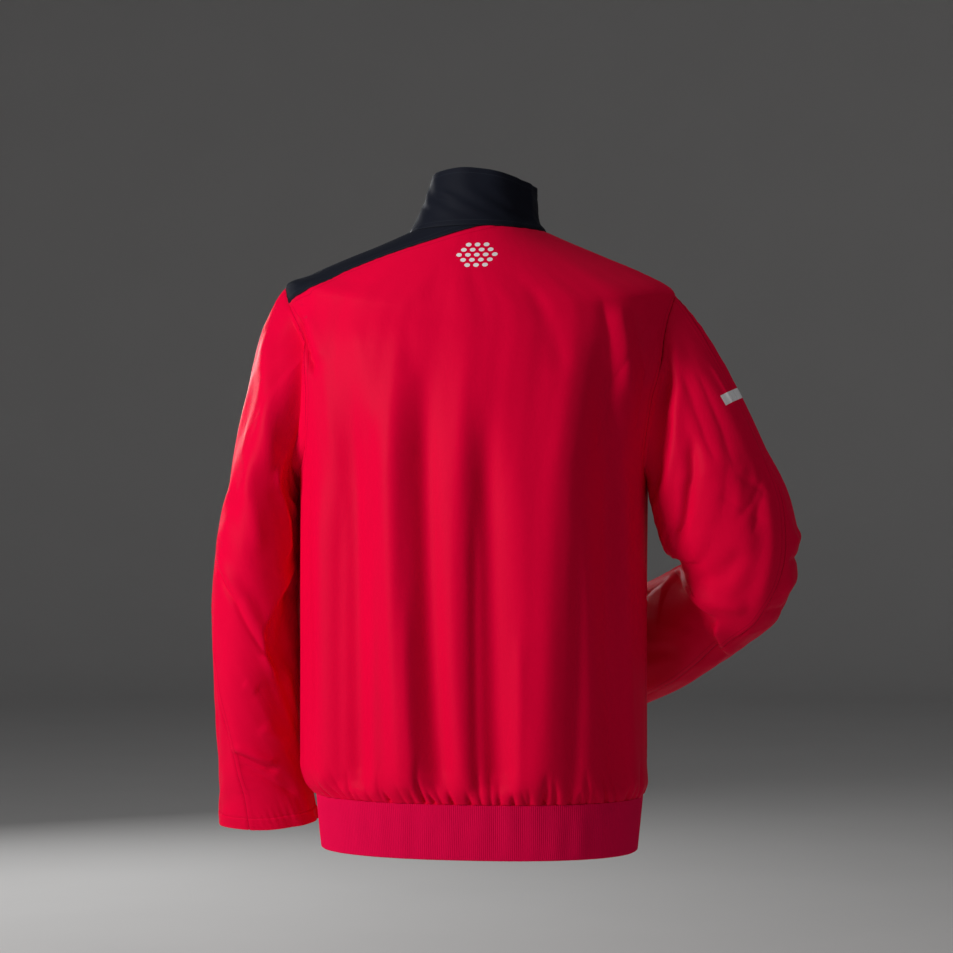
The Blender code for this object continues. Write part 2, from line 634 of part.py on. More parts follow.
# ---------------------------------------------------------------- sleeves
@functools.cache
def armhole_curve(side, behind):
    # The armhole's points from the shoulder tip to the armpit, with the body's outward directions.
    levels = np.array((ARMHOLE_LEVELS + TIP_LEVELS[1:])[::-1])
    if behind:
        rows = ARMHOLE_BACK_LEFT if side > 0 else ARMHOLE_BACK_RIGHT
    else:
        rows = ARMHOLE_FRONT
    turns = side * edge_degrees(rows, levels)
    return body_point(levels, turns), body_outward(levels, turns)


def armhole_at(side, degrees):
    # Armhole point for an angle round the sleeve: 0 at the tip, 90 at the back, 180 at the armpit.
    degrees = np.mod(degrees, 360.0)
    result = np.empty(degrees.shape + (3,))
    for behind in (True, False):
        points, _ = armhole_curve(side, behind)
        lengths = lengths_along(points)
        share = degrees / 180.0 if behind else (360.0 - degrees) / 180.0
        chosen = degrees <= 180.0 if behind else degrees > 180.0
        for axis in range(3):
            values = smooth_between(lengths / lengths[-1], points[:, axis], share)
            result[..., axis] = np.where(chosen, values, result[..., axis])
    return result


def tube_point(sections, side, section, degrees):
    # Points of the sleeve below the armhole, on half ellipses square to the arm.
    index = np.arange(len(sections), dtype=float)
    value = {name: smooth_between(index, [row[i] for row in sections], section)
             for i, name in enumerate(SLEEVE_COLUMNS)}
    centre = np.stack([value["x"], value["y"], value["z"]], axis=-1)
    ahead = np.minimum(section + 0.05, index[-1])
    behind = np.maximum(section - 0.05, 0.0)
    travel = [smooth_between(index, [row[i] for row in sections], ahead)
              - smooth_between(index, [row[i] for row in sections], behind) for i in range(3)]
    along = unit(np.stack(travel, axis=-1))
    out = np.stack([value["out_x"], value["out_y"], value["out_z"]], axis=-1)
    out = unit(out - along * np.sum(out * along, axis=-1, keepdims=True))
    deep = side * np.cross(out, along)
    turn = np.radians(degrees)
    reach = np.where(np.cos(turn) > 0.0, value["outer"], value["inner"])
    return (centre + out * (reach * np.cos(turn))[..., None]
            + deep * (value["deep"] * np.sin(turn))[..., None]), along


def crease_height(creases, section, degrees):
    height = np.zeros_like(section)
    for start, from_degrees, stop, to_degrees, half_width, rise in creases:
        share = (section - start) / (stop - start)
        line = from_degrees + (to_degrees - from_degrees) * np.clip(share, 0.0, 1.0)
        apart = np.mod(degrees - line + 180.0, 360.0) - 180.0
        along = smooth_step(share / 0.35) * smooth_step((1.0 - share) / 0.35)
        height += rise * np.exp(-((apart / half_width) ** 2)) * along
    return height


def sleeve_base(side, section, degrees):
    # Section -1 is the armhole and section 0 the top of the tube; a curved patch joins them.
    sections, cap, _, _ = sleeve_tables(side)
    section, degrees = np.broadcast_arrays(np.asarray(section, dtype=float), np.asarray(degrees, dtype=float))
    tube, _ = tube_point(sections, side, np.maximum(section, 0.0), degrees)
    top, down = tube_point(sections, side, np.zeros_like(section), degrees)
    hole = armhole_at(side, degrees)
    around = np.mod(degrees, 360.0)
    lead = {name: smooth_between([row[0] for row in cap], [row[i] for row in cap], around)
            for i, name in enumerate(CAP_COLUMNS)}
    reach = np.linalg.norm(top - hole, axis=-1)
    leave = unit(np.stack([lead["x"], lead["y"], lead["z"]], axis=-1)) * (reach * lead["pull_out"])[..., None]
    arrive = down * (reach * lead["pull_down"])[..., None]
    t = np.clip(section + 1.0, 0.0, 1.0)[..., None]
    patch = (hole * (2 * t**3 - 3 * t**2 + 1) + top * (3 * t**2 - 2 * t**3)
             + leave * (t**3 - 2 * t**2 + t) + arrive * (t**3 - t**2))
    return np.where(section[..., None] < 0.0, patch, tube)


def sleeve_tables(side):
    if side > 0:
        return SLEEVE_LEFT, CAP_LEFT, CREASES_LEFT, OVER_SEAM_LEFT
    return SLEEVE_RIGHT, CAP_RIGHT, CREASES_RIGHT, OVER_SEAM_RIGHT


def difference_normal(surface, side, section, degrees, last):
    down = surface(side, np.minimum(section + 0.02, last), degrees)
    down = down - surface(side, np.maximum(section - 0.02, -1.0), degrees)
    round_ = surface(side, section, degrees + 1.0) - surface(side, section, degrees - 1.0)
    return unit(side * np.cross(down, round_))


def sleeve_point(side, section, degrees):
    section, degrees = np.broadcast_arrays(np.asarray(section, dtype=float), np.asarray(degrees, dtype=float))
    sections, _, creases, _ = sleeve_tables(side)
    base = sleeve_base(side, section, degrees)
    away = difference_normal(sleeve_base, side, section, degrees, len(sections) - 1.0)
    return base + away * crease_height(creases, section, degrees)[..., None]


def seam_degrees(side, section):
    seam = sleeve_tables(side)[3]
    knots = np.concatenate([[-1.0], np.arange(len(seam), dtype=float)])
    return float(smooth_between(knots, (0.0,) + seam, np.asarray(section)))


def sleeve_rows(side, behind, sections):
    last = sections[-1]
    outer, inner = [], []
    for section in sections:
        if section == -1.0:
            hole, body_away = armhole_curve(side, behind)
            lengths = lengths_along(hole)
            turns = 180.0 * lengths / lengths[-1]
            turns = turns if behind else 360.0 - turns
            below = sleeve_base(side, np.full_like(turns, -0.96), turns)
            lead = unit(below - hole)
            away = difference_normal(sleeve_base, side, np.full_like(turns, -0.98), turns, last)
            # On a ridge the sleeve's edge stands as the body's does, so that the two walls stay apart.
            ridge = smooth_step((np.sum((away - body_away) * lead, axis=-1) + 0.05) / 0.25)[:, None]
            away = unit(away * (1.0 - ridge) + body_away * ridge)
            points = hole + lead * SEAM_GAP
        else:
            start = seam_degrees(side, section) + (0.0 if behind else 360.0)
            turns = np.linspace(start, 180.0, SLEEVE_STEPS + 1)
            heights = np.full_like(turns, section)
            points = sleeve_point(side, heights, turns)
            away = difference_normal(sleeve_point, side, heights, turns, last)
        outer.append(points)
        inner.append(points - away * CLOTH)
    return outer, inner


def make_sleeve(label, side, sections, cloth):
    pieces = []
    for behind, word in ((True, "back"), (False, "front")):
        outer, inner = sleeve_rows(side, behind, sections)
        if not behind:
            for rows in (outer, inner):
                for end in (0, -1):
                    trim(rows, end, [True] * len(rows))
        pieces.append(wall(f"sleeve_{label}_{word}", outer, inner, cloth))
    return pieces


# ---------------------------------------------------------------- zip
def zip_rows(offsets, lift, foot, collar_top):
    # Rows of points up the zip, from a distance down the band to a level on the collar. offsets are
    # distances to the wearer's left of the middle front; lift is how far outside the cloth they lie.
    rows = []

    def strip(surface, rings, level, away, lifted):
        turns = np.array([math.copysign(1.0, offset) * float(zip_edge(rings, level, abs(offset)))
                          for offset in offsets])
        heights = np.full_like(turns, level)
        rows.append(surface(heights, turns) + away(heights, turns) * lifted)

    turns_at_seam = np.array([math.copysign(1.0, offset) * float(zip_edge(RINGS, 0.0, abs(offset)))
                              for offset in offsets])
    for drop in (foot, 0.0):
        points, away = band_ring(np.full_like(turns_at_seam, drop), turns_at_seam)
        rows.append(points + away * lift)
    for level in panel_levels()[1:-1]:
        strip(body_point, RINGS, level, body_outward, lift)
    for level in COLLAR_LEVELS[:-1] + (collar_top,):
        strip(collar_point, COLLAR_RINGS, level, collar_outward, lift - (COLLAR_WALL - CLOTH))
    return rows


def collar_outward(level, degrees):
    away = outward(collar_point, level, degrees, 0.0, COLLAR_LEVELS[-1])
    away[..., 2] = 0.0
    return unit(away)


def make_tapes(cloth):
    face = -CLOTH - SEAM_GAP
    for label, side in (("left", 1.0), ("right", -1.0)):
        offsets = side * np.array([SEAM_GAP / 2.0, TAPE_HALF_WIDTH / 2.0, TAPE_HALF_WIDTH])
        outer = zip_rows(offsets, face, BAND_HEIGHT, ZIP_TOP)
        inner = zip_rows(offsets, face - TAPE_WALL, BAND_HEIGHT, ZIP_TOP)
        wall(f"zip_tape_{label}", outer, inner, cloth)


def make_chain(nylon):
    offsets = np.array([-CHAIN_HALF_WIDTH, CHAIN_HALF_WIDTH])
    foot = BAND_HEIGHT - BOX_HEIGHT - SEAM_GAP
    outer = zip_rows(offsets, CHAIN_WALL - CLOTH, foot, CHAIN_TOP)
    inner = zip_rows(offsets, -CLOTH, foot, CHAIN_TOP)
    wall("zip_chain", outer, inner, nylon)


def slider_place():
    # The middle of the slider's back face, just in front of the chain.
    ring = columns_at(RING_COLUMNS, COLLAR_RINGS, np.array(SLIDER_LEVEL))
    chain_face = -float(ring["front"]) - (CHAIN_WALL - COLLAR_WALL)
    return float(ring["centre_x"]), chain_face - SLIDER_GAP, float(ring["z_front"])


def prism(name, outline, axis, half_depth, material):
    # Extrudes an outline, given in the two other axes, to both sides of a plane.
    bm = bmesh.new()
    rings = []
    for end in (-half_depth, half_depth):
        points = [np.insert(np.array(point, dtype=float), axis, end) for point in outline]
        rings.append([bm.verts.new(point) for point in points])
    bm.faces.new(rings[0])
    bm.faces.new(rings[1])
    count = len(outline)
    for k in range(count):
        bm.faces.new((rings[0][k], rings[0][(k + 1) % count], rings[1][(k + 1) % count], rings[1][k]))
    return finish(name, bm, material, 30.0)


def arc(centre, radius, start, stop, steps):
    turns = np.radians(np.linspace(start, stop, steps + 1))
    return [(centre[0] + radius * math.cos(turn), centre[1] + radius * math.sin(turn)) for turn in turns]


def join(target, tool, operation="UNION"):
    # Applies a Boolean and removes the tool.
    change = target.modifiers.new(operation.lower(), "BOOLEAN")
    change.operation = operation
    change.solver = "EXACT"
    change.object = tool
    evaluated = target.evaluated_get(bpy.context.evaluated_depsgraph_get())
    mesh = bpy.data.meshes.new_from_object(evaluated)
    target.modifiers.clear()
    target.data = mesh
    mesh.name = target.name
    bpy.data.objects.remove(tool, do_unlink=True)


def make_slider(metal):
    x, back, z = slider_place()
    half = SLIDER_WIDTH / 2.0
    top = SLIDER_HEIGHT / 2.0
    outline = [(half * across, top * along) for across, along in SLIDER_OUTLINE]
    plate = prism("zip_slider", outline, 1, SLIDER_WALL / 2.0, metal)
    face = -SLIDER_WALL / 2.0
    pin_y = face - PIN_REACH
    for sign in (-1.0, 1.0):
        outline = [(face + LUG_SINK, -LUG_HALF_HEIGHT), (face + LUG_SINK, LUG_HALF_HEIGHT)]
        outline += arc((pin_y, 0.0), LUG_RADIUS, 70.0, 290.0, 10)
        lug = prism("lug", outline, 0, LUG_WALL / 2.0, metal)
        lug.data.transform(mathutils.Matrix.Translation((sign * (LUG_GAP + LUG_WALL) / 2.0, 0.0, 0.0)))
        join(plate, lug)
    pin = prism("pin", arc((pin_y, 0.0), PIN_RADIUS, 0.0, 330.0, 11), 0, (LUG_GAP + LUG_WALL) / 2.0, metal)
    join(plate, pin)
    plate.location = (x, back - SLIDER_WALL / 2.0, z)
    return plate


def make_pull(metal):
    # The pull tab's origin is the pin's axis.
    x, back, z = slider_place()
    half = TAB_WIDTH / 2.0
    outline = [(-half, -TAB_TOP - TAB_SHOULDER), (-half / 2.0, -TAB_TOP), (half / 2.0, -TAB_TOP),
               (half, -TAB_TOP - TAB_SHOULDER)]
    outline += arc((0.0, -TAB_FOOT + half), half, 0.0, -180.0, 8)
    tab = prism("zip_pull", outline, 1, TAB_WALL / 2.0, metal)
    root = -TAB_TOP - TAB_SHOULDER / 2.0
    outline = arc((0.0, 0.0), EYE_RADIUS, -40.0, 220.0, 14)
    outline += [(-TAB_WALL / 2.0, root), (TAB_WALL / 2.0, root)]
    eye = prism("eye", outline, 0, EYE_WIDTH / 2.0, metal)
    join(tab, eye)
    hole = prism("hole", arc((0.0, 0.0), EYE_HOLE, 0.0, 345.0, 23), 0, EYE_WIDTH, metal)
    join(tab, hole, "DIFFERENCE")
    tab.location = (x, back - SLIDER_WALL - PIN_REACH, z)
    return tab


def make_zip_box(metal):
    # The retainer box that holds the two tapes' lower ends, leaning with the band.
    ring = columns_at(RING_COLUMNS, RINGS, np.array(0.0))
    half = BOX_WIDTH / 2.0
    top = BOX_HEIGHT / 2.0
    outline = [(-half, -top), (half, -top), (half, top - BOX_CORNER), (half - BOX_CORNER, top),
               (BOX_CORNER - half, top), (-half, top - BOX_CORNER)]
    box = prism("zip_box", outline, 1, BOX_WALL / 2.0, metal)
    lean = math.atan2(BAND_TAPER, BAND_HEIGHT)
    box.data.transform(mathutils.Matrix.Rotation(lean, 4, "X"))
    drop = BAND_HEIGHT - top
    seat = -float(ring["front"]) + BAND_TAPER * drop / BAND_HEIGHT + CLOTH
    box.location = (float(ring["centre_x"]), seat - BOX_WALL / 2.0, BAND_TOP_Z - drop)
    return box


# ---------------------------------------------------------------- assembly
def build():
    clear_scene()
    cloth = paint("woven_red", CRIMSON, 0.45)
    navy = paint("woven_navy", NAVY, 0.55)
    knit = paint("rib_red", RIB_RED, 0.80)
    make_back(cloth)
    make_front("front_left", 1, cloth)
    make_front("front_right", -1, cloth)
    make_yoke(navy)
    make_collar(navy)
    make_band(knit)
    make_sleeve("left", 1, SECTIONS_LEFT, cloth)
    make_sleeve("right", -1, SECTIONS_RIGHT, cloth)
    make_tapes(paint("zip_cloth", CHAIN_RED, 0.80))
    make_chain(paint("zip_nylon", CHAIN_RED, 0.50))
    metal = paint("zip_metal", GUNMETAL, 0.35, 1.0)
    make_slider(metal)
    make_pull(metal)
    make_zip_box(metal)


build()
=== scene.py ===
import functools
import math

import bpy
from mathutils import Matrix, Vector
import numpy as np


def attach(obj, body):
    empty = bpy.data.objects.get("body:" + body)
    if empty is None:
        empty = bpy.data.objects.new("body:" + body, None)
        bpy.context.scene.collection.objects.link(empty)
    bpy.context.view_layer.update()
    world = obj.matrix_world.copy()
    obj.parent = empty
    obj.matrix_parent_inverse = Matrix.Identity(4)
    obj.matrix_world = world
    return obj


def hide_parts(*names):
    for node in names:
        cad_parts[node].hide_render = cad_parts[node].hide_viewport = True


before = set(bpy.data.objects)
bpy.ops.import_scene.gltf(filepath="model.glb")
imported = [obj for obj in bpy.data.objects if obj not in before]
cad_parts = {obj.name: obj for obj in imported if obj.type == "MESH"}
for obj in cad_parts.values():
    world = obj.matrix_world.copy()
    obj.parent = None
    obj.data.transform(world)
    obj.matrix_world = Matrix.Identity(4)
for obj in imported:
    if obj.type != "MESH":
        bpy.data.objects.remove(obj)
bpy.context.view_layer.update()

body = "garment"    # everything but the pull tab
made = {}    # the pieces of this script by name
mm = 1000.0
shaderTurn = 6.2832    # one wave of a sine in the shaders
rippleTurn = 6.28
unsewn = 0.05    # stands for "far from any seam"
print("frame loaded:", len(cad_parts), "nodes")


# Small maths, all on whole arrays.
def table(units, rows):
    # Each column is divided by its unit.
    return np.array(rows) / units


def ease(value):
    share = np.clip(value, 0.0, 1.0)
    return share * share * (3.0 - 2.0 * share)


def bell(distance, halfWidth):
    return np.exp(-((distance / halfWidth) ** 2))


def unit(vectors):
    return vectors / np.maximum(np.linalg.norm(vectors, axis=-1, keepdims=True), 1e-12)


def runOf(points, axis=0):
    # Length from the first point to each one, along one axis of a grid of points.
    steps = np.linalg.norm(np.diff(points, axis=axis), axis=-1)
    first = np.zeros_like(np.take(steps, [0], axis=axis))
    return np.cumsum(np.concatenate([first, steps], axis=axis), axis=axis)


def hermite(t, start, leave, end, arrive):
    return (start * (2 * t**3 - 3 * t**2 + 1) + end * (3 * t**2 - 2 * t**3)
            + leave * (t**3 - 2 * t**2 + t) + arrive * (t**3 - t**2))


def curveThrough(knots, values, at):
    # Cubic through the knots whose slopes are limited, so that it never passes a table's values.
    knots, values = np.asarray(knots, dtype=float), np.asarray(values, dtype=float)
    steps = np.diff(knots)
    slopes = np.diff(values) / steps
    sameWay = slopes[:-1] * slopes[1:] > 0.0
    total = np.where(sameWay, slopes[:-1] + slopes[1:], 1.0)
    inner = np.where(sameWay, 2.0 * slopes[:-1] * slopes[1:] / total, 0.0)
    tangents = np.concatenate([slopes[:1], inner, slopes[-1:]])
    at = np.clip(at, knots[0], knots[-1])
    left = np.clip(np.searchsorted(knots, at, side="right") - 1, 0, len(steps) - 1)
    step = steps[left]
    return hermite((at - knots[left]) / step, values[left], step * tangents[left],
                   values[left + 1], step * tangents[left + 1])


def column(rows, index, at):
    return curveThrough(rows[:, 0], rows[:, index], at)


def ripple(x, y, seed, count=9):
    # Uneven waves: sines of unlike pitch and direction, bent by a slower wave. Mean 0, about -1 to 1.
    rng = np.random.default_rng(seed)
    total = np.zeros(np.broadcast(x, y).shape)
    x = x + 0.35 * np.sin(1.3 * y + seed)
    for _ in range(count):
        turn, pitch, phase = rng.uniform(-0.5, 0.5), rng.uniform(0.6, 1.7), rng.uniform(0.0, rippleTurn)
        total += np.sin(rippleTurn * pitch * (x * math.cos(turn) + y * math.sin(turn)) + phase)
    return total / count**0.5


def nearLine(points, knots):
    # Distance from points to a line of straight pieces, and how far along it, 0 to 1, the nearest spot
    # lies; points and knots may have two or three coordinates.
    steps = np.diff(knots, axis=0)
    lengths = np.linalg.norm(steps, axis=1)
    starts = np.concatenate([[0.0], np.cumsum(lengths)])
    distance = np.full(points.shape[:-1], np.inf)
    share = np.zeros(points.shape[:-1])
    for knot, step, length, start in zip(knots, steps, lengths, starts):
        along = np.clip(np.sum((points - knot) * step, axis=-1) / length**2, 0.0, 1.0)
        apart = np.linalg.norm(points - knot - along[..., None] * step, axis=-1)
        nearer = apart < distance
        distance = np.where(nearer, apart, distance)
        share = np.where(nearer, (start + along * length) / starts[-1], share)
    return distance, share


def sideOf(x, y, knots, share):
    # +1 on the left of a line drawn in x and y and -1 on its right, at shares of the way along it.
    def spot(at, axis):
        return np.interp(np.clip(at, 0.0, 1.0), np.linspace(0.0, 1.0, len(knots)), knots[:, axis])

    stepX, stepY = (spot(share + 0.12, axis) - spot(share - 0.12, axis) for axis in (0, 1))
    return np.sign(stepX * (y - spot(share, 1)) - stepY * (x - spot(share, 0)))


def creaseShape(kind, distance, side, share, sizes):
    # A soft ridge or trough, a sharp one, or a step whose left side is raised and right side sunk.
    leftWidth, rightWidth, rise = table(mm, sizes)
    ends = ease(share / 0.22) * ease((1.0 - share) / 0.22)
    width = np.where(side > 0.0, leftWidth, rightWidth)
    if kind == "step":
        return rise * ends * np.tanh(side * distance / rightWidth) * np.exp(-distance / leftWidth)
    return rise * ends * np.exp(-((distance / width) ** (2.0 if kind == "soft" else 1.3)))


def creaseRows(creases):
    for kind, rows in creases.items():
        for knots, *sizes in rows:
            yield kind, np.reshape(knots, (-1, 2)).astype(float), sizes


def spacing(length, count):
    # Shares from 0 to 1 of a row of a given length, close together beside both of its ends.
    near = np.array((0.0, 0.0006, 0.0013, 0.0022, 0.0034, 0.0050, 0.0070, 0.0095)) / length
    middle = np.linspace(near[-1], 1.0 - near[-1], count - 2 * len(near) + 2)
    return np.concatenate([near[:-1], middle, 1.0 - near[:-1][::-1]])


def joined(*parts):
    # Levels from several (start, stop, count) runs, end to end.
    runs = [np.linspace(start, stop, count, endpoint=False) for start, stop, count in parts]
    return np.concatenate(runs + [[parts[-1][1]]])


# Meshes.
def meshFrom(name, points, faces, material, uv=None, fields=None, angle=180.0):
    # faces is a list of arrays of vertex numbers, one array for each count of corners.
    mesh = bpy.data.meshes.new(name)
    loops = np.concatenate([block.ravel() for block in faces]).astype(np.int32)
    totals = np.concatenate([np.full(len(block), block.shape[1]) for block in faces]).astype(np.int32)
    starts = np.concatenate([[0], np.cumsum(totals)[:-1]]).astype(np.int32)
    mesh.vertices.add(len(points))
    mesh.vertices.foreach_set("co", np.asarray(points, dtype=np.float32).ravel())
    mesh.loops.add(len(loops))
    mesh.loops.foreach_set("vertex_index", loops)
    mesh.polygons.add(len(totals))
    mesh.polygons.foreach_set("loop_start", starts)
    mesh.polygons.foreach_set("loop_total", totals)
    mesh.update(calc_edges=True)
    if uv is not None:
        layer = mesh.uv_layers.new(name="cut")
        layer.data.foreach_set("uv", np.asarray(uv, dtype=np.float32)[loops].ravel())
    for label, values in (fields or {}).items():
        field = mesh.attributes.new(label, "FLOAT", "POINT")
        field.data.foreach_set("value", np.asarray(values, dtype=np.float32).ravel())
    mesh.validate()
    mesh.shade_smooth()
    if angle < 180.0:
        mesh.set_sharp_from_angle(angle=math.radians(angle))
    mesh.materials.append(material)
    made[name] = bpy.data.objects.new(name, mesh)
    bpy.context.collection.objects.link(made[name])


def numbered(grid):
    return np.arange(grid.shape[0] * grid.shape[1]).reshape(grid.shape[:2])


def quads(at):
    return np.stack([at[:-1, :-1], at[1:, :-1], at[1:, 1:], at[:-1, 1:]], axis=-1).reshape(-1, 4)


def gridNormal(grid):
    # Cross product of the steps along the two directions of a grid.
    return unit(np.cross(np.gradient(grid, axis=0), np.gradient(grid, axis=1)))


def shell(name, outer, away, wall, material, uv, fields):
    # A closed cloth wall: a fine outer face, an inner face with every second point, and a rim.
    inner = (outer - away * wall)[::2, ::2]
    outerAt = numbered(outer)
    innerAt = outerAt.size + numbered(inner)

    def rim(fine, coarse):
        return np.stack([fine[2::2], fine[1::2], fine[:-1:2], coarse[:-1], coarse[1:]], axis=-1)

    rims = [rim(outerAt[:, 0], innerAt[:, 0]), rim(outerAt[-1], innerAt[-1]),
            rim(outerAt[::-1, -1], innerAt[::-1, -1]), rim(outerAt[0, ::-1], innerAt[0, ::-1])]
    faces = [quads(outerAt), quads(innerAt)[:, ::-1], np.concatenate(rims)]
    if np.mean(np.sum(gridNormal(outer) * away, axis=-1)) < 0.0:
        faces = [block[:, ::-1] for block in faces]
    points = np.concatenate([outer.reshape(-1, 3), inner.reshape(-1, 3)])
    everyUv = np.concatenate([uv.reshape(-1, 2), uv[::2, ::2].reshape(-1, 2)])
    everyField = {label: np.concatenate([values.ravel(), values[::2, ::2].ravel()])
                  for label, values in fields.items()}
    meshFrom(name, points, faces, material, everyUv, everyField, 60.0)


def hoseStrip(name, grid, material, uv, fields):
    # A strip whose cross-section is closed: rows run round the section, columns along the strip.
    at = numbered(grid)
    after = np.roll(at, -1, axis=0)
    blocks = [np.stack([at[:, :-1], after[:, :-1], after[:, 1:], at[:, 1:]], axis=-1).reshape(-1, 4)]
    half = len(at) // 2
    for end, sign in ((0, 1), (-1, -1)):
        near, far = at[:half, end], at[::-1, end][:half]
        blocks.append(np.stack([near[:-1], far[:-1], far[1:], near[1:]], axis=-1)[:, ::sign])
    around = np.roll(grid, -1, axis=0) - np.roll(grid, 1, axis=0)
    facing = np.cross(around[:, 1:-1], grid[:, 2:] - grid[:, :-2])
    outward = (grid - grid.mean(axis=0, keepdims=True))[:, 1:-1]
    if np.mean(np.sum(facing * outward, axis=-1)) < 0.0:
        blocks = [block[:, ::-1] for block in blocks]
    meshFrom(name, grid.reshape(-1, 3), blocks, material, uv.reshape(-1, 2), fields, 50.0)


# Shader nodes.
def operator(operation, swapped=False):
    def apply(self, other):
        return self.finish.maths(operation, *((other, self) if swapped else (self, other)))

    return apply


class Signal:
    # Wraps a socket, so that shader maths reads as plain arithmetic.
    __add__ = __radd__ = operator("ADD")
    __mul__ = __rmul__ = operator("MULTIPLY")
    __sub__, __rsub__ = operator("SUBTRACT"), operator("SUBTRACT", True)
    __truediv__ = operator("DIVIDE")

    def __init__(self, finish, socket):
        self.finish = finish
        self.socket = socket

    def maths(self, operation, *others):
        return self.finish.maths(operation, self, *others)

    def size(self):
        return self.maths("ABSOLUTE")

    def saw(self, pitch):
        # -0.5 to 0.5, over and over.
        return (self / pitch).maths("FRACT") - 0.5

    def wave(self):
        return self.maths("SINE")

    def below(self, limit, soft):
        # 1 under the limit and 0 over it, with a soft edge.
        return self.finish.add("ShaderNodeMapRange", {"interpolation_type": "SMOOTHSTEP"},
                               {"Value": self, "From Min": limit - soft, "From Max": limit + soft,
                                "To Min": 1.0, "To Max": 0.0})


def shade(colour, share):
    return (*(channel * share for channel in colour), 1.0)


class Finish:
    # A material and the nodes added to it.
    def __init__(self, name, colour, **sockets):
        self.colour = colour
        self.material = bpy.data.materials.new(name)
        self.material.use_nodes = True
        self.material.diffuse_color = (*colour, 1.0)
        self.tree = self.material.node_tree
        self.shader = self.tree.nodes["Principled BSDF"]
        self.set("Base Color", (*colour, 1.0))
        for label, value in sockets.items():
            self.set(label.replace("_", " "), value)

    def put(self, socket, value):
        if isinstance(value, Signal):
            self.tree.links.new(value.socket, socket)
        else:
            socket.default_value = value

    def set(self, label, value):
        self.put(self.shader.inputs[label], value)

    def add(self, kind, settings=None, sockets=None, output=0):
        node = self.tree.nodes.new(kind)
        for label, value in (settings or {}).items():
            setattr(node, label, value)
        for label, value in (sockets or {}).items():
            self.put(node.inputs[label], value)
        return Signal(self, node.outputs[output])

    def maths(self, operation, *values):
        return self.add("ShaderNodeMath", {"operation": operation}, dict(enumerate(values)))

    def field(self, label):
        return self.add("ShaderNodeAttribute", {"attribute_name": label}, output="Fac")

    def split(self, vector):
        node = self.add("ShaderNodeSeparateXYZ", None, {0: vector}).socket.node
        return [Signal(self, socket) for socket in node.outputs]

    def spot(self):
        return self.split(self.add("ShaderNodeTexCoord", output="Object"))

    def cut(self):
        # Distances across and up the cloth.
        return self.split(self.add("ShaderNodeUVMap", {"uv_map": "cut"}))[:2]

    def noise(self, source, scale, detail=2.0, roughness=0.5, stretch=1.0):
        # Over Object or UV coordinates, drawn out along the second one where stretch is under 1.
        spot = self.add("ShaderNodeTexCoord", output=source)
        spot = self.add("ShaderNodeMapping", None, {"Vector": spot, "Scale": (1.0, stretch, 1.0)})
        return self.add("ShaderNodeTexNoise", None,
                        {"Vector": spot, "Scale": scale, "Detail": detail, "Roughness": roughness})

    def mix(self, mask, first, second):
        return self.add("ShaderNodeMix", {"data_type": "RGBA"}, {0: mask, 6: first, 7: second}, output=2)

    def tones(self, mask, low, high, *layers):
        # From one shade of the colour to another, and darker shades over them: mask, strength, shade.
        colour = self.mix(mask, shade(self.colour, low), shade(self.colour, high))
        for mask, strength, share in layers:
            colour = self.mix(mask * strength, colour, shade(self.colour, share))
        return colour

    def bump(self, height, strength, distance, below=None):
        sockets = {"Height": height, "Strength": strength, "Distance": distance}
        if below is not None:
            sockets["Normal"] = below
        return self.add("ShaderNodeBump", None, sockets)


def wovenFinish(name, look, marks=()):
    # Fine polyester: crossed threads, slow changes of tone, sewn lines beside the seams and plain
    # prints where a piece carries them; painted shade darkens the fold of each seam and the groove of
    # each sewn line.
    finish = Finish(name, look["colour"], Specular_IOR_Level=look["specular"])
    across, up = finish.cut()
    count = shaderTurn / look["pitch"]
    threads = (across * count).wave() * (up * count).wave()
    slow = finish.noise("UV", look["toneScale"], 3.0, 0.55, 0.45)
    fine = finish.noise("UV", look["grainScale"], 2.0, 0.6, 0.8)
    seam = finish.field("seam")
    dash = finish.field("run").saw(look["stitchLength"]).size().below(0.36, 0.06)
    sewn = groove = 0.0
    # groove is painted shade in the groove along each sewn line, which the bump also sinks.
    for offset in look["stitchLines"]:
        apart = (seam - offset).size()
        sewn = apart.below(0.00030, 0.00010) * dash + sewn
        groove = apart.below(0.00060, 0.00050) + groove
    # Painted shade: fold darkens the cloth in the fold at each seam's edge, where shade falls.
    fold = seam.below(0.0009, 0.0007)
    colour = finish.tones(slow, 0.90, 1.08, (fine, 0.35, 0.80), (fold, 0.75, 0.22), (groove, 0.22, 0.50))
    colour = finish.mix(sewn, colour, shade(look["thread"], 1.0))
    rough = slow * 0.10 + (look["roughness"] - 0.05) + threads * 0.03
    for mark in marks:
        mask = mark(finish, up)
        colour = finish.mix(mask, colour, shade((0.80, 0.79, 0.80), 1.0))
        rough = rough * (1.0 - mask * 0.3)
    finish.set("Base Color", colour)
    finish.set("Roughness", rough)
    weave = finish.bump(threads * 0.5 + fine * 0.5, 0.20, 0.00012)
    crumpled = finish.noise("UV", look["crumpleScale"], 3.0, 0.6, 0.5)
    soft = finish.bump(crumpled, look["crumple"], 0.0016, weave)
    finish.set("Normal", finish.bump(sewn * 0.5 - groove * 0.6, 0.55, 0.0004, soft))
    return finish.material


wovenLook = {
    "colour": (0.780, 0.0006, 0.040), "roughness": 0.48, "specular": 0.022, "pitch": 0.00072,
    "toneScale": 9.0, "grainScale": 420.0, "crumpleScale": 34.0, "crumple": 0.35,
    "stitchLength": 0.0028, "stitchLines": (0.0016, 0.0066), "thread": (0.62, 0.0006, 0.030),
}
navyLook = dict(wovenLook, colour=(0.0080, 0.0095, 0.0165), roughness=0.66, specular=0.06,
                thread=(0.020, 0.024, 0.034))


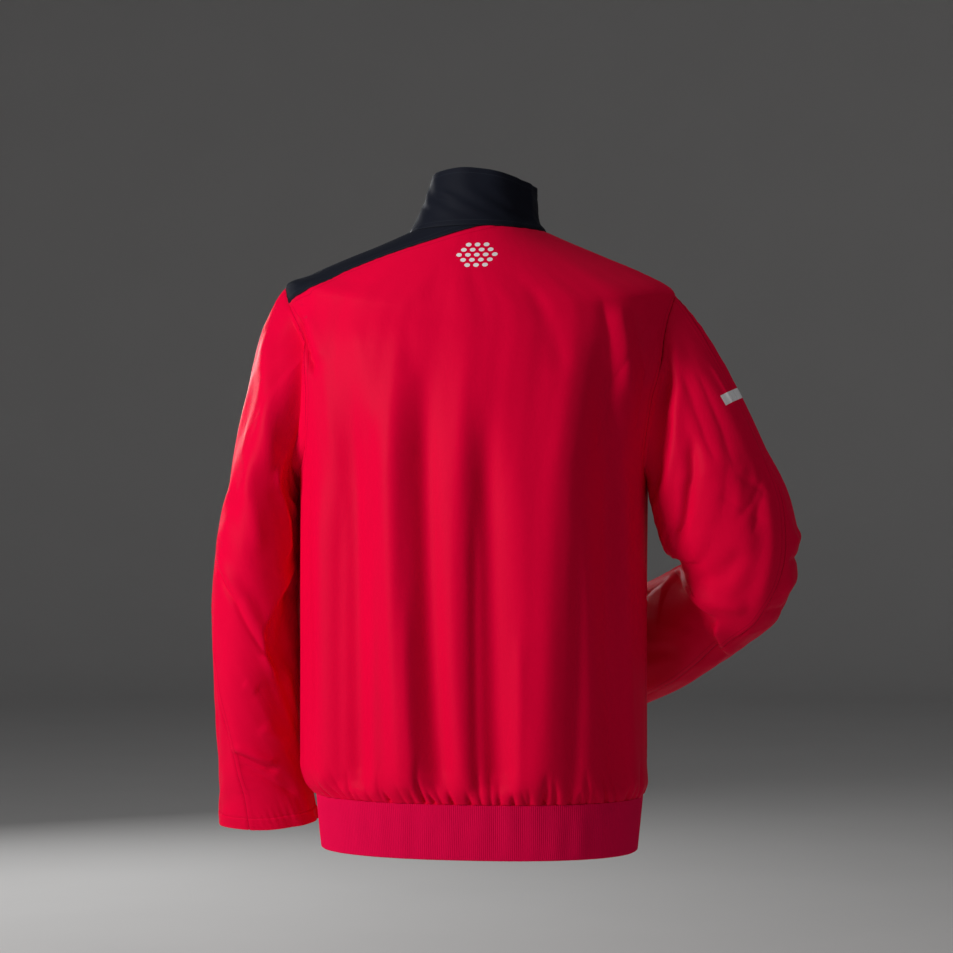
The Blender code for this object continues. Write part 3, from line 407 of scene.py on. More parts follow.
# The body: rings up the cloth, from the waistband seam to the neck. Tables are in mm and degrees.
ringUnits = (mm,) * 8 + (1.0,) * 3
edgeUnits = (mm, 1.0)
bodyShape = {
    # Level, side, back and front height, middle x, half width, back, front; side and depth power, lean
    "rings": table(ringUnits, (
        (0, -633, -633, -633, 6, 183.5, 118, 125, 2.3, 2.3, 0),
        (15, -618, -618, -618, 10, 193, 124, 132, 2.3, 2.3, 0),
        (35, -598, -598, -598, 13, 196.5, 127, 137, 2.3, 2.3, 0),
        (185, -448, -448, -448, 13.5, 195.5, 126, 137, 2.3, 2.3, 0),
        (348, -285, -285, -285, 12.5, 196, 125, 138, 2.3, 2.3, 0),
        (433, -200, -200, -200, 10.5, 210.5, 123, 134, 2.35, 2.15, 0),
        (503, -130, -134, -136, 8, 221.5, 118, 121, 2.35, 1.85, 0.015),
        (565, -66, -94, -104, 6.8, 222.5, 106, 105, 2.2, 1.45, 0.03),
        (600, -45.6, -68, -86, 10.5, 188, 98, 96, 2.1, 1.5, 0.006),
        (635, -30.5, -43, -70, 11.5, 153, 89, 88, 2, 1.6, 0.003),
        (670, -13.8, -19, -57, 9.8, 111, 78, 80, 2, 1.8, 0),
        (700, 0, 3, -45, 7.5, 78, 67, 73, 2, 2, 0),
    )),
    "collar": table(ringUnits, (
        (0, 0, 3, -45, 7.5, 78, 67, 73, 2, 2, 0),
        (15, 14, 18, -31, 7, 70, 64, 72.5, 2.05, 2.05, 0.03),
        (40, 37, 42, -6, 3, 62.5, 61, 72, 2.1, 2.1, 0.07),
        (66, 56, 67.5, 20, 0, 59, 59, 71.5, 2.15, 2.15, 0.1),
    )),
    "armpit": 0.348, "yokeFoot": 0.545, "shoulderTip": 0.565, "neck": 0.700,
    # Level, degrees round from the middle of the back
    "armholeBackLeft": table(edgeUnits, (
        (348, 90), (372, 72), (400, 62), (433, 57), (468, 55), (503, 56), (530, 65), (545, 75), (555, 82),
        (565, 90),
    )),
    "armholeBackRight": table(edgeUnits, (
        (348, 90), (372, 79), (400, 75), (433, 73), (468, 72), (503, 72.5), (530, 75), (553, 82), (565, 90),
    )),
    "armholeFront": table(edgeUnits, (
        (348, 90), (372, 106), (400, 116), (433, 122), (468, 124), (503, 123), (530, 118), (545, 112),
        (557, 102), (565, 90),
    )),
    "yokeBackSeam": table(edgeUnits, (
        (545, 75), (552, 68), (565, 57), (580, 53), (605, 52), (634, 47), (659, 38), (680, 21), (690, 8),
        (700, -10),
    )),
    "yokeFrontSeam": table(edgeUnits, (
        (545, 112), (565, 118), (600, 123), (635, 126), (670, 128), (700, 130),
    )),
    "shoulderSeamRight": table(edgeUnits, (
        (565, 90), (600, 97), (650, 101), (700, 105),
    )),
    "wall": 0.0012, "seamLap": 0.0003, "zipHalfGap": 0.0050,
}

drape = {
    # Long folds: top height, x at top, middle and foot, foot height, half width, rise
    "folds": {
        "back": (
            (-110, 82, 84, 66.5, -630, 18, 9.1), (-110, 48, 44, 28, -630, 15, -8.75),
            (-90, 0, 10, 4, -620, 12, 3.15), (-170, -18, -27, -34, -630, 18, -10.85),
            (-100, -108, -92, -76, -630, 26, 6.3), (-90, -146, -152, -160, -630, 15, -10.15),
            (-210, -166, -168, -173, -640, 8.5, 5.95), (-150, 140, 130, 126, -630, 17, -10.5),
            (-230, 174, 172, 168, -640, 12, 3.85), (-300, 104, 105, 104, -640, 8, 1.75),
            (-380, 65, 64, 52, -640, 7, 1.925), (-280, -8, -8, -12, -640, 6, -1.925),
            (-330, -116, -118, -112, -640, 8, -2.1), (-420, -56, -56, -54, -640, 7, 1.75),
            (-250, 150, 149, 147, -640, 7, -1.75),
        ),
        "front": (
            (-110, 85, 90, 80, -630, 21, -11.375), (-170, 134, 138, 130, -630, 16, -7),
            (-130, -75, -82, -88, -630, 20, -12.25), (-200, -130, -133, -128, -630, 15, -7.875),
            (-200, 48, 46, 44, -620, 20, 5.25), (-180, -40, -42, -45, -620, 18, 4.375),
        ),
    },
    # Creases: x and z of each knot along it, width on its left and right, rise
    "creases": {
        "back": {
            "soft": (
                ((196, -90, 182, -116, 168, -150), 7, 10, 2.6),
                ((-158, -80, -170, -135, -176, -200), 9, 6, 2.6),
                ((-196, -100, -199, -140, -197, -185), 6, 4, 2),
                ((-60, -60, -90, -110, -104, -170), 10, 9, -1.2), ((60, -70, 68, -110, 64, -170), 10, 10, -1.2),
                ((130, -100, 118, -150, 110, -230), 11, 10, 1.2),
            ),
            "sharp": (
                ((208, -87, 194, -127, 178, -167), 4, 5.5, -7.5),
                ((-172, -85, -184, -132, -194, -178), 6, 4, -3),
                ((-140, -75, -152, -120, -158, -190), 7, 6, -2.2),
                ((-205, -105, -186, -175, -176, -245), 4, 4, -1.2),
                ((-200, -95, -168, -150, -146, -190), 5, 5, -1),
            ),
        },
        "front": {
            "soft": (
                ((40, -120, 46, -220, 38, -330), 12, 12, -2.2),
                ((-36, -110, -50, -200, -46, -320), 12, 12, -2.2),
            ),
            "sharp": (
                ((204, -100, 180, -150, 160, -200), 6, 6, -3.6), ((190, -95, 160, -130, 136, -175), 7, 7, -2.2),
                ((-190, -100, -170, -150, -154, -210), 6, 6, -3.8),
                ((-176, -92, -150, -130, -122, -180), 7, 7, -2.4),
            ),
        },
    },
    # Height, pitch, length, seed, count
    "ripples": ((0.00016, 0.024, 0.30, 3, 9), (0.00080, 0.085, 0.45, 8, 5)),
    "gathers": {"count": 84, "depth": 0.0066, "reach": (0.018, 0.066), "seed": 5, "stray": 0.36, "lean": 0.24,
                "width": 0.0023, "widen": 0.040, "uneven": 0.0012, "puff": 0.35, "puffReach": 0.040,
                "settled": 0.0030},
}


def ringPoint(rows, level, degrees):
    # |x / half width|^side power + |y / depth|^depth power = 1, with the back and front of the ring
    # each at its own height. 0 degrees is the middle of the back and 90 is +X.
    sideZ, backZ, frontZ, middleX, halfWidth, back, front, sidePower, depthPower, lean = (
        column(rows, index, level) for index in range(1, 11))
    turn = np.radians(degrees)
    across, along = np.sin(turn), np.cos(turn)
    xShare = np.sign(across) * np.abs(across) ** (2.0 / sidePower)
    yShare = np.abs(along) ** (2.0 / depthPower)
    behind = along > 0.0
    y = np.sign(along) * np.where(behind, back, front) * yShare
    endZ = np.where(behind, backZ, frontZ)
    z = sideZ + (endZ - sideZ) * yShare**2 + lean * halfWidth * xShare
    return np.stack([middleX + halfWidth * xShare, y, z], axis=-1)


def normalOf(surface, first, second, firstStep, secondStep, low, high):
    # Normal from differences along a surface's two parameters; the first stays within its range.
    ahead, behind = np.minimum(first + firstStep, high), np.maximum(first - firstStep, low)
    return unit(np.cross(surface(ahead, second) - surface(behind, second),
                         surface(first, second + secondStep) - surface(first, second - secondStep)))


def ringNormal(rows, level, degrees, top):
    return normalOf(lambda a, b: ringPoint(rows, a, b), level, degrees, 0.0008, 0.4, 0.0, top)


@functools.lru_cache
def waistTable():
    turns = np.linspace(-180.0, 180.0, 4001)
    return turns, runOf(ringPoint(bodyShape["rings"], np.full_like(turns, 0.1), turns))


def waistRun(degrees):
    # Length round the waist from the middle of the front, for an angle.
    return np.interp(degrees, *waistTable())


def foldField(points):
    x, y, z = points[..., 0], points[..., 1], points[..., 2]
    plane = np.stack([x, z], axis=-1)
    height = np.zeros_like(x)
    for side, depth in (("back", y), ("front", -y)):
        for topZ, topX, middleX, footX, footZ, halfWidth, rise in table(mm, drape["folds"][side]):
            share = (topZ - z) / (topZ - footZ)
            line = topX * (1 - share) * (1 - 2 * share) + 4 * middleX * share * (1 - share)
            line += footX * share * (2 * share - 1)
            along = ease(share / 0.30) * ease((1.04 - share) / 0.12)
            height += rise * bell(x - line, halfWidth) * along * ease((depth - 0.02) / 0.04)
        for kind, knots, sizes in creaseRows(drape["creases"][side]):
            distance, share = nearLine(plane, knots / mm)
            sign = sideOf(x, z, knots / mm, share)
            height += creaseShape(kind, distance, sign, share, sizes) * ease(depth / 0.04)
    return height


def gatherField(level, degrees):
    # Narrow troughs side by side round the waistband seam, with puffs of cloth left between them; each
    # has its own place, depth, slant and reach.
    look = drape["gathers"]
    rng = np.random.default_rng(look["seed"])
    shortest, longest = look["reach"]
    total = waistTable()[1][-1]
    run = waistRun(degrees)
    height = np.zeros_like(run)
    for index in range(look["count"]):
        centre = (index + 0.5 + rng.uniform(-look["stray"], look["stray"])) * total / look["count"]
        reach = shortest + (longest - shortest) * rng.uniform() ** 1.6
        lean = rng.uniform(-look["lean"], look["lean"])
        depth = look["depth"] * rng.uniform(0.25, 1.0)
        width = look["width"] + look["widen"] * level + rng.uniform(0.0, look["uneven"])
        fade = 1.0 - ease(level / reach)
        height -= depth * fade * np.exp(-((np.abs(run - centre - lean * level) / width) ** 1.25))
    height += look["puff"] * look["depth"] * (1.0 - ease(level / look["puffReach"]))
    besideZip = ease((176.0 - np.abs(degrees)) / 5.0)
    return height * ease(level / look["settled"]) * besideZip


def bodyCloth(level, degrees):
    # The worn body without its seams: rings, folds, ripples and gathers.
    base = ringPoint(bodyShape["rings"], level, degrees)
    away = ringNormal(bodyShape["rings"], level, degrees, bodyShape["neck"])
    run = waistRun(degrees)
    calm = ease((175.0 - np.abs(degrees)) / 12.0)    # beside the zip
    calm = calm * ease((level - 0.03) / 0.10) * (1.0 - ease((level - 0.56) / 0.10))
    height = foldField(base) * ease((level - 0.0015) / 0.022) + gatherField(level, degrees)
    for rise, pitch, length, seed, count in drape["ripples"]:
        height += rise * calm * ripple(run / pitch, level / length, seed, count)
    return base + away * height[..., None]


def edgeTable(name, level):
    return column(bodyShape[name], 1, level)


def panelEdge(side, behind, level):
    # Degrees at which a body panel ends beside its sleeve, the side seam, the yoke or the shoulder seam.
    if side > 0:
        armhole, above = ("armholeBackLeft", "yokeBackSeam") if behind else ("armholeFront", "yokeFrontSeam")
        top = bodyShape["yokeFoot"]
    else:
        armhole, above = "armholeBackRight" if behind else "armholeFront", "shoulderSeamRight"
        top = bodyShape["shoulderTip"]
    degrees = np.where(level <= top, edgeTable(armhole, level), edgeTable(above, level))
    return side * np.where(level <= bodyShape["armpit"], 90.0, degrees)


def zipEdge(rows, level, halfGap=bodyShape["zipHalfGap"]):
    # Angle on the wearer's left at which the cloth stops beside the zip.
    share = (halfGap / column(rows, 5, level)) ** (column(rows, 8, level) / 2.0)
    return 180.0 - np.degrees(np.arcsin(share))


bodyLevels = joined((0.0, 0.0036, 4), (0.0036, 0.076, 32), (0.076, 0.340, 48), (0.340, 0.352, 6),
                    (0.352, 0.470, 28), (0.470, 0.540, 26), (0.540, 0.568, 20), (0.568, 0.690, 38),
                    (0.690, 0.700, 6))


def panelTurns(levels, first, last, shares):
    # Angles at given shares of each row's length, from its first edge to its last.
    fine = first[:, None] + (last - first)[:, None] * np.linspace(0.0, 1.0, 181)
    run = runOf(ringPoint(bodyShape["rings"], np.broadcast_to(levels[:, None], fine.shape), fine), axis=1)
    return np.array([np.interp(shares * length[-1], length, turns) for length, turns in zip(run, fine)])


def endDistance(grid, end):
    # Distance of each point from one end of its row, measured square to that edge.
    row = grid if end == 0 else grid[:, ::-1]
    edgeWay = unit(np.gradient(row[:, 0], axis=0))
    rowWay = unit(row[:, 3] - row[:, 0])
    square = np.linalg.norm(np.cross(edgeWay, rowWay), axis=-1)
    distance = runOf(row, axis=1) * np.maximum(square, 0.2)[:, None]
    return distance if end == 0 else distance[:, ::-1]


def lapEnd(grid, end, share=1.0):
    # Draws one end of every row out over its neighbour's edge, so that no light shows in the seam.
    step = 3 if end == 0 else -4
    grid[:, end] -= unit(grid[:, step] - grid[:, end]) * bodyShape["seamLap"] * share


seamLook = {
    "roll": 0.0007, "rollWidth": 0.0014, "strip": 0.00040, "stripStart": 0.0004, "stripRise": 0.0010,
    "stripEnd": 0.0070, "stripFall": 0.0014,
    "pucker": 0.00022, "puckerReach": 0.009, "puckerPitch": 0.011, "puckerLength": 0.030, "seed": 20,
}


def seamRoll(distance, felled):
    # Cloth rolls down into a seam; on a felled side a flat strip stands up beside it.
    look = seamLook
    strip = look["strip"] * ease((distance - look["stripStart"]) / look["stripRise"])
    strip = strip * (1.0 - ease((distance - look["stripEnd"]) / look["stripFall"]))
    return strip * felled - look["roll"] * bell(distance, look["rollWidth"])


def pucker(distance, run, seed):
    # Small waves that sewing draws into the cloth beside a seam.
    look = seamLook
    waves = ripple(run / look["puckerPitch"], distance / look["puckerLength"], look["seed"] + seed, 5)
    return look["pucker"] * np.exp(-distance / look["puckerReach"]) * waves


def outwardFrom(grid, centre):
    # Normals of a grid, turned to point away from a centre.
    away = gridNormal(grid)
    return away * np.sign(np.mean(np.sum(away * (grid - centre), axis=-1)))


def sewnPanel(name, grid, away, edges, material, across, up):
    # Adds seams along a panel's edges and gives the wall its thickness. edges holds, for each sewn
    # edge, the distance from it, how far the sewing runs, whether it is felled and top-stitched. An
    # edge felled by less than nothing is stitching alone.
    height = np.zeros(grid.shape[:2])
    seam = np.full(grid.shape[:2], unsewn)
    run = np.zeros(grid.shape[:2])
    for index, (distance, along, felled, stitched) in enumerate(edges):
        along = np.broadcast_to(along, distance.shape)
        if felled >= 0.0:
            height += seamRoll(distance, felled) + pucker(distance, along, index)
        if stitched:
            nearer = distance < seam
            seam = np.where(nearer, distance, seam)
            run = np.where(nearer, along, run)
    outer = grid + away * height[..., None]
    normal = gridNormal(outer)
    normal *= np.sign(np.sum(normal * away, axis=-1).mean())
    # The seam field also places the painted shade in the fold at each seam.
    shell(name, outer, normal, bodyShape["wall"], material, np.stack([across, up], axis=-1),
          {"seam": seam, "run": run})


def bodyPanel(name, side, material, settings):
    # side 0 is the back, 1 and -1 the wearer's left and right front.
    levels = bodyLevels
    if side == 0:
        first, last = panelEdge(1, True, levels), panelEdge(-1, True, levels)
    else:
        first, last = panelEdge(side, False, levels), side * zipEdge(bodyShape["rings"], levels)
    turns = panelTurns(levels, first, last, spacing(settings["width"], settings["columns"]))
    tall = np.broadcast_to(levels[:, None], turns.shape)
    grid = bodyCloth(tall, turns)
    away = outwardFrom(grid, settings["inside"])
    if side != 0:
        sewnToBack = (levels <= bodyShape["armpit"]) | ((levels > bodyShape["shoulderTip"]) & (side < 0))
        lapEnd(grid, 0, sewnToBack[:, None])
    run = runOf(grid)
    around = waistRun(turns)
    edges = [(run, around, 0.0, False), (run[-1:] - run, around * 0.3, 0.0, False),
             (endDistance(grid, 0), run[:, :1], 0.6, True), (endDistance(grid, -1), run[:, -1:], 0.6, True)]
    sewnPanel(name, grid, away, edges, material, around - (waistRun(0.0) if side == 0 else 0.0), tall)


def backPrint(finish, up):
    # A plain hexagonal cluster of reflective dots below the neck.
    look = {"x": -0.0043, "level": 0.652, "pitch": 0.0098, "dot": 0.0031, "reach": 0.02276}
    x = finish.spot()[0] - look["x"]
    y = up - look["level"]
    tall = look["pitch"] * 3.0**0.5

    def near(shift):
        # Shifted far to one side too, since a fraction must be taken of a number above 0.
        dx = (x + (shift + 50.5) * look["pitch"]).saw(look["pitch"]) * look["pitch"]
        dy = (y + (shift + 50.5) * tall).saw(tall) * tall
        return (dx * dx + dy * dy).maths("SQRT")

    apart = near(0.0).maths("MINIMUM", near(0.5))
    within = (x * x + y * y).maths("SQRT").below(look["reach"], 0.00005)
    return apart.below(look["dot"], 0.00025) * within


def sleevePrint(finish, up):
    # A plain reflective bar round the outer side of the right sleeve, square to the arm.
    look = {"x": -0.281, "z": -0.186, "lean": (0.50, 0.865), "half": 0.0062, "start": 0.011,
            "behind": 0.034, "soft": 0.0003}
    x, y, z = finish.spot()
    x, z = x - look["x"], z - look["z"]
    short, tall = look["lean"]
    along = (x * short + z * tall).size().below(look["half"], look["soft"])
    started = (x * tall - z * short).below(look["start"], look["soft"])
    return along * started * (y * -1.0).below(look["behind"], look["soft"])


wovenRed = wovenFinish("woven_red_cloth", wovenLook)
wovenRedBack = wovenFinish("woven_red_cloth_back", wovenLook, (backPrint,))
wovenRedSleeve = wovenFinish("woven_red_cloth_sleeve", wovenLook, (sleevePrint,))
wovenNavy = wovenFinish("woven_navy_cloth", navyLook)
print("cloth finishes made")

chest = np.array([0.01, 0.0, -0.3])
frontLook = {"columns": 181, "width": 0.24, "inside": chest}
bodyPanel("cloth_back", 0, wovenRedBack, {"columns": 361, "width": 0.40, "inside": chest})
bodyPanel("cloth_front_left", 1, wovenRed, frontLook)
bodyPanel("cloth_front_right", -1, wovenRed, frontLook)
print("body panels made")


def yokePanel(name, material, settings):
    # Levels and angles over the yoke are blended from its four edges: back, front, neck and armhole.
    foot, neck = bodyShape["yokeFoot"], bodyShape["neck"]
    levels = np.append(foot, bodyLevels[bodyLevels > foot])[::-1]
    levels = np.insert(levels, 1, levels[:2].mean())    # an odd count, as a shell needs
    back, front = (np.stack([levels, edgeTable(seam, levels)], axis=-1)
                   for seam in ("yokeBackSeam", "yokeFrontSeam"))
    bend = 1.0 - (1.0 - np.linspace(0.0, 1.0, settings["columns"] // 2 + 1)) ** 2
    tip = foot + (bodyShape["shoulderTip"] - foot) * bend
    behind, ahead = (np.stack([tip, edgeTable(seam, tip)], axis=-1)
                     for seam in ("armholeBackLeft", "armholeFront"))
    armhole = np.concatenate([behind, ahead[::-1][1:]])
    c = np.linspace(0.0, 1.0, len(armhole))
    neckLine = np.stack([np.full_like(c, neck), back[0, 1] + (front[0, 1] - back[0, 1]) * c], axis=-1)
    k = ((neck - levels) / (neck - foot))[:, None, None]
    c = c[None, :, None]
    sides = (1 - c) * back[:, None] + c * front[:, None]
    ends = (1 - k) * neckLine[None] + k * armhole[None]
    corners = ((1 - k) * ((1 - c) * neckLine[0] + c * neckLine[-1])
               + k * ((1 - c) * armhole[0] + c * armhole[-1]))
    spots = sides + ends - corners
    grid = bodyCloth(spots[..., 0], spots[..., 1])
    away = outwardFrom(grid, settings["inside"])
    for end in (0, -1):
        lapEnd(grid, end)
    run, width = runOf(grid), runOf(grid, axis=1)
    edges = [(endDistance(grid, 0), run[:, :1], 1.0, True), (endDistance(grid, -1), run[:, -1:], 1.0, True),
             (run, width, 0.0, False), (run[-1:] - run, width, 0.0, False)]
    sewnPanel(name, grid, away, edges, material, width, run)


yokePanel("cloth_yoke_left", wovenNavy, {"columns": 60, "inside": np.array([0.1, 0.0, -0.3])})
print("yoke made")


# Sleeves: sections down each arm. Centre, the way the outer side faces, and reach outward, inward and deep.
sectionUnits = (mm,) * 3 + (1.0,) * 3 + (mm,) * 3
sleeveLeft = {
    "side": 1,
    "sections": table(sectionUnits, (
        (253, 4, -295, 1, 0, 0.2, 40, 40.5, 70),
        (260, 6, -350, 1, 0, 0.1, 46.5, 48, 67),
        (264, 2, -410, 1, 0, 0, 48.5, 51, 63),
        (266, -7, -470, 1, 0, 0, 49, 51.5, 59),
        (267, -18, -530, 1, 0, 0, 49, 50.5, 55),
        (265, -30, -585, 1, 0, 0, 51.5, 49, 50),
        (261, -40, -632, 1, 0, 0, 56.5, 52, 44),
        (259, -48, -674, 1, 0, 0, 61, 56, 38),
    )),
    # How the cloth leaves the armhole: degrees, direction, pull away and pull down
    "cap": np.array((
        (0, 0.76, 0, -0.65, 0.55, 0.95), (90, 0.7, 0.3, -0.65, 0.8, 0.8), (180, 0.35, 0, -0.94, 0.8, 0.8),
        (270, 0.7, -0.3, -0.65, 0.8, 0.8), (360, 0.76, 0, -0.65, 0.55, 0.95),
    )),
    "overSeam": (0, 0, 2, 8, 26, 46, 62, 70, 74),
    # Creases: section and degrees of each knot along it, width on its left and right, rise
    "creases": {
        "soft": (
            ((-0.99, 20, -0.98, 60, -0.96, 100, -0.93, 132, -0.86, 158, -0.6, 176), 28, 28, -13),
            ((-0.85, 8, -0.75, 15, -0.62, 50, -0.5, 82, -0.38, 104, -0.2, 118), 10, 16, 4.8),
            ((1.5, 176, 2.1, 156, 2.8, 142, 3.5, 152), 18, 14, -6),
            ((1.1, 26, 1.5, 62, 1.9, 92, 2.45, 112, 3.1, 132), 8, 6, 2.2),
            ((4.3, 104, 4.55, 122, 4.8, 150), 8, 8, 2.2), ((4.7, 64, 4.98, 96, 5.25, 126), 6, 6, 3.2),
            ((3.9, 20, 4.6, 40, 5.4, 36), 12, 12, -1.4), ((-0.55, 30, 0, 52, 0.7, 70, 1.3, 84), 12, 12, -2.4),
            ((-0.3, 76, 0.4, 98, 1.2, 112), 10, 9, 2.4),
            ((-0.92, 300, -0.6, 276, -0.2, 246, 0.4, 230), 14, 14, -5),
            ((2.6, 300, 3.4, 262, 4.2, 236), 10, 10, -3), ((0.4, 290, 1.2, 262, 1.9, 246), 10, 10, 2.6),
        ),
        "sharp": (
            ((-0.46, 116, -0.1, 134, 0.5, 148, 1, 151, 1.4, 146), 4, 12, 6),
            ((-0.42, 126, -0.05, 147, 0.5, 161, 1, 164), 5, 5, -4.5),
            ((-0.48, 120, -0.2, 140, 0.2, 163, 0.5, 172), 4, 6, 4),
            ((1, 2, 1.25, 20, 1.6, 52, 2, 80, 2.6, 104, 3.25, 128), 3.4, 4, -3.4),
            ((2.9, 112, 3.2, 124, 3.38, 135), 4, 4, 3), ((3.45, 88, 3.62, 106), 6, 6, 1.4),
            ((4.85, 58, 5.15, 92, 5.45, 124), 5, 6, -4.4), ((5, 58, 5.5, 100, 6.2, 144), 7, 7, -3),
            ((0.8, 350, 1.4, 318, 2.2, 276, 2.9, 240), 6, 7, -3.4),
            ((4.6, 320, 5.2, 280, 5.8, 244), 7, 7, -3.2),
        ),
        "step": (
            ((1.3, 174, 1.6, 156, 1.9, 140, 2.5, 117, 2.9, 119, 3.3, 128, 3.6, 136), 30, 2.4, -5.8),
            ((1.4, 190, 2, 214, 2.6, 232, 3.2, 226), 20, 3, 3.8),
        ),
    },
    "seed": 41,
}
sleeveRight = {
    "side": -1,
    "sections": table(sectionUnits, (
        (-258, 4, -268, -0.9, 0.03, 0.43, 63, 77, 58),
        (-280, 2, -320, -0.92, 0.12, 0.34, 66.5, 86, 54),
        (-289, -6, -362, -0.92, 0.3, 0.12, 64, 76.5, 52),
        (-284, -22, -396, -0.8, 0.48, -0.22, 59, 61, 52),
        (-265, -44, -420, -0.64, 0.5, -0.52, 52, 55.5, 50),
        (-236, -72, -439, -0.52, 0.36, -0.76, 56, 66, 45),
        (-194, -114, -462, -0.44, 0.22, -0.87, 60, 66, 40),
        (-148, -162, -484, -0.41, 0.14, -0.9, 62, 62, 38),
        (-108, -204, -505, -0.41, 0.12, -0.9, 58, 56, 36),
    )),
    "cap": np.array((
        (0, -0.7, 0, -0.71, 0.9, 0.9), (90, -0.75, 0.25, -0.6, 0.8, 0.8), (180, -0.45, 0, -0.9, 0.8, 0.8),
        (270, -0.75, -0.25, -0.6, 0.8, 0.8), (360, -0.7, 0, -0.71, 0.9, 0.9),
    )),
    "overSeam": (0, 16, 22, 26, 28, 28, 28, 28, 28, 28),
    "creases": {
        "soft": (
            ((-0.97, 25, -0.85, 55, -0.75, 78, -0.5, 108, -0.2, 126, 0.15, 138), 6, 9, 3.4),
            ((-0.97, 60, -0.85, 100, -0.65, 130, -0.3, 152, 0.1, 164), 13, 11, -11),
            ((0.05, 48, 0.5, 68, 1, 80), 6, 6, 0.8), ((-0.1, 84, 0.35, 92, 0.95, 112), 10, 10, 0.6),
            ((1.62, -45, 1.74, -10, 1.7, 16), 7, 7, 3.4), ((2.5, -40, 2.45, 0, 2.38, 25), 10, 9, 3),
            ((1.5, 72, 2.15, 92, 2.6, 122), 10, 12, -2.2), ((2.8, 46, 2.98, 84, 3.15, 118), 10, 9, 3),
            ((5, 60, 6, 78, 7.2, 70), 10, 10, -2.4), ((5.4, 20, 6.4, 36, 7.4, 30), 10, 10, 2),
            ((-0.92, 300, -0.5, 268, 0.2, 238), 13, 13, -5.2), ((2.1, 326, 2.35, 284, 2.55, 250), 8, 8, 3.2),
            ((4.6, 290, 5.6, 268, 6.8, 276), 12, 12, -3.4), ((4.4, 240, 5.4, 226, 6.4, 232), 9, 9, -2.8),
        ),
        "sharp": (
            ((-0.45, 84, -0.25, 98, 0.1, 110, 0.55, 121, 1, 133, 1.5, 146), 6, 10, -6.8),
            ((0.05, 156, 0.3, 165, 0.58, 172), 3, 4, 3), ((-0.3, 60, 0.2, 74, 0.9, 94), 6, 6, -0.9),
            ((0.25, 68, 0.55, 52, 0.9, 36), 5, 5, -1.3), ((0.42, 90, 0.85, 72, 1.25, 48), 5, 6, -1),
            ((0.6, 38, 0.95, 56, 1.4, 66), 5, 5, -1.4), ((-0.7, 40, -0.45, 52, -0.1, 62, 0.25, 66), 4, 6, -1.6),
            ((-0.6, 22, -0.45, 26, -0.28, 28), 3, 4, 2.2), ((-0.8, 55, -0.55, 70, -0.3, 78, 0, 80), 5, 8, -2.2),
            ((0.2, 30, 0.55, 42, 0.8, 60, 1.05, 84), 4, 5, -1.2), ((2.1, -50, 2.04, -10, 1.96, 24), 6, 6, -5),
            ((3.05, -30, 2.98, 2, 2.88, 30), 8, 7, -3.4), ((6.3, 126, 5.4, 142, 4.75, 150), 4, 5, -2.4),
            ((-0.6, 250, 0, 224, 0.8, 206), 7, 7, -3.6), ((1.5, 330, 1.9, 286, 2.15, 250), 8, 7, -4.6),
            ((2.6, 326, 2.85, 284, 3.05, 246), 8, 7, -4.6), ((3.4, 316, 3.65, 276, 3.8, 240), 7, 8, -4),
            ((1.7, 236, 2.1, 218, 2.5, 204), 5, 6, -3),
        ),
        "step": (
            ((4.95, 160, 4.5, 148, 4, 128, 3.62, 94, 3.36, 64), 30, 2.4, -5.8),
            ((3.36, 66, 3.8, 54, 4.15, 30, 4.5, -10), 26, 2.4, -5.4),
        ),
    },
    "seed": 57,
}
cuffLook = {
    "stitching": 0.0150, "hem": 0.0006, "edge": 0.0012, "groove": 0.0006, "grooveWidth": 0.0011,
    "pucker": 0.00035, "puckerReach": 0.010,
}


@functools.lru_cache
def armholeLine(side, behind):
    # Points down the armhole from the shoulder tip to the armpit, and the length to each.
    tip, foot = bodyShape["shoulderTip"], bodyShape["armpit"]
    levels = tip - (tip - foot) * np.linspace(0.0, 1.0, 241) ** 2.0
    name = "armholeFront" if not behind else ("armholeBackLeft" if side > 0 else "armholeBackRight")
    points = bodyCloth(levels, side * edgeTable(name, levels))
    return points, runOf(points)


def armholePoint(side, degrees):
    # 0 degrees is the shoulder tip, 90 the back, 180 the armpit and 270 the front.
    degrees = np.mod(degrees, 360.0)
    share = np.where(degrees <= 180.0, degrees, 360.0 - degrees) / 180.0
    result = []
    for behind in (True, False):
        points, run = armholeLine(side, behind)
        result.append(np.stack([np.interp(share * run[-1], run, axis) for axis in points.T], axis=-1))
    return np.where((degrees <= 180.0)[..., None], *result)


def tubePoint(arm, section, degrees):
    # Half ellipses square to the arm, one reach outward and another inward.
    rows = arm["sections"]
    index = np.arange(len(rows), dtype=float)

    def value(at, *columns):
        return np.stack([curveThrough(index, rows[:, column], at) for column in columns], axis=-1)

    ahead, behind = np.minimum(section + 0.05, index[-1]), np.maximum(section - 0.05, 0.0)
    along = unit(value(ahead, 0, 1, 2) - value(behind, 0, 1, 2))
    out = value(section, 3, 4, 5)
    out = unit(out - along * np.sum(out * along, axis=-1, keepdims=True))
    turn = np.radians(degrees)[..., None]
    reach = np.where(np.cos(turn) > 0.0, value(section, 6), value(section, 7)) * np.cos(turn)
    deep = arm["side"] * np.cross(out, along) * value(section, 8) * np.sin(turn)
    return value(section, 0, 1, 2) + out * reach + deep, along


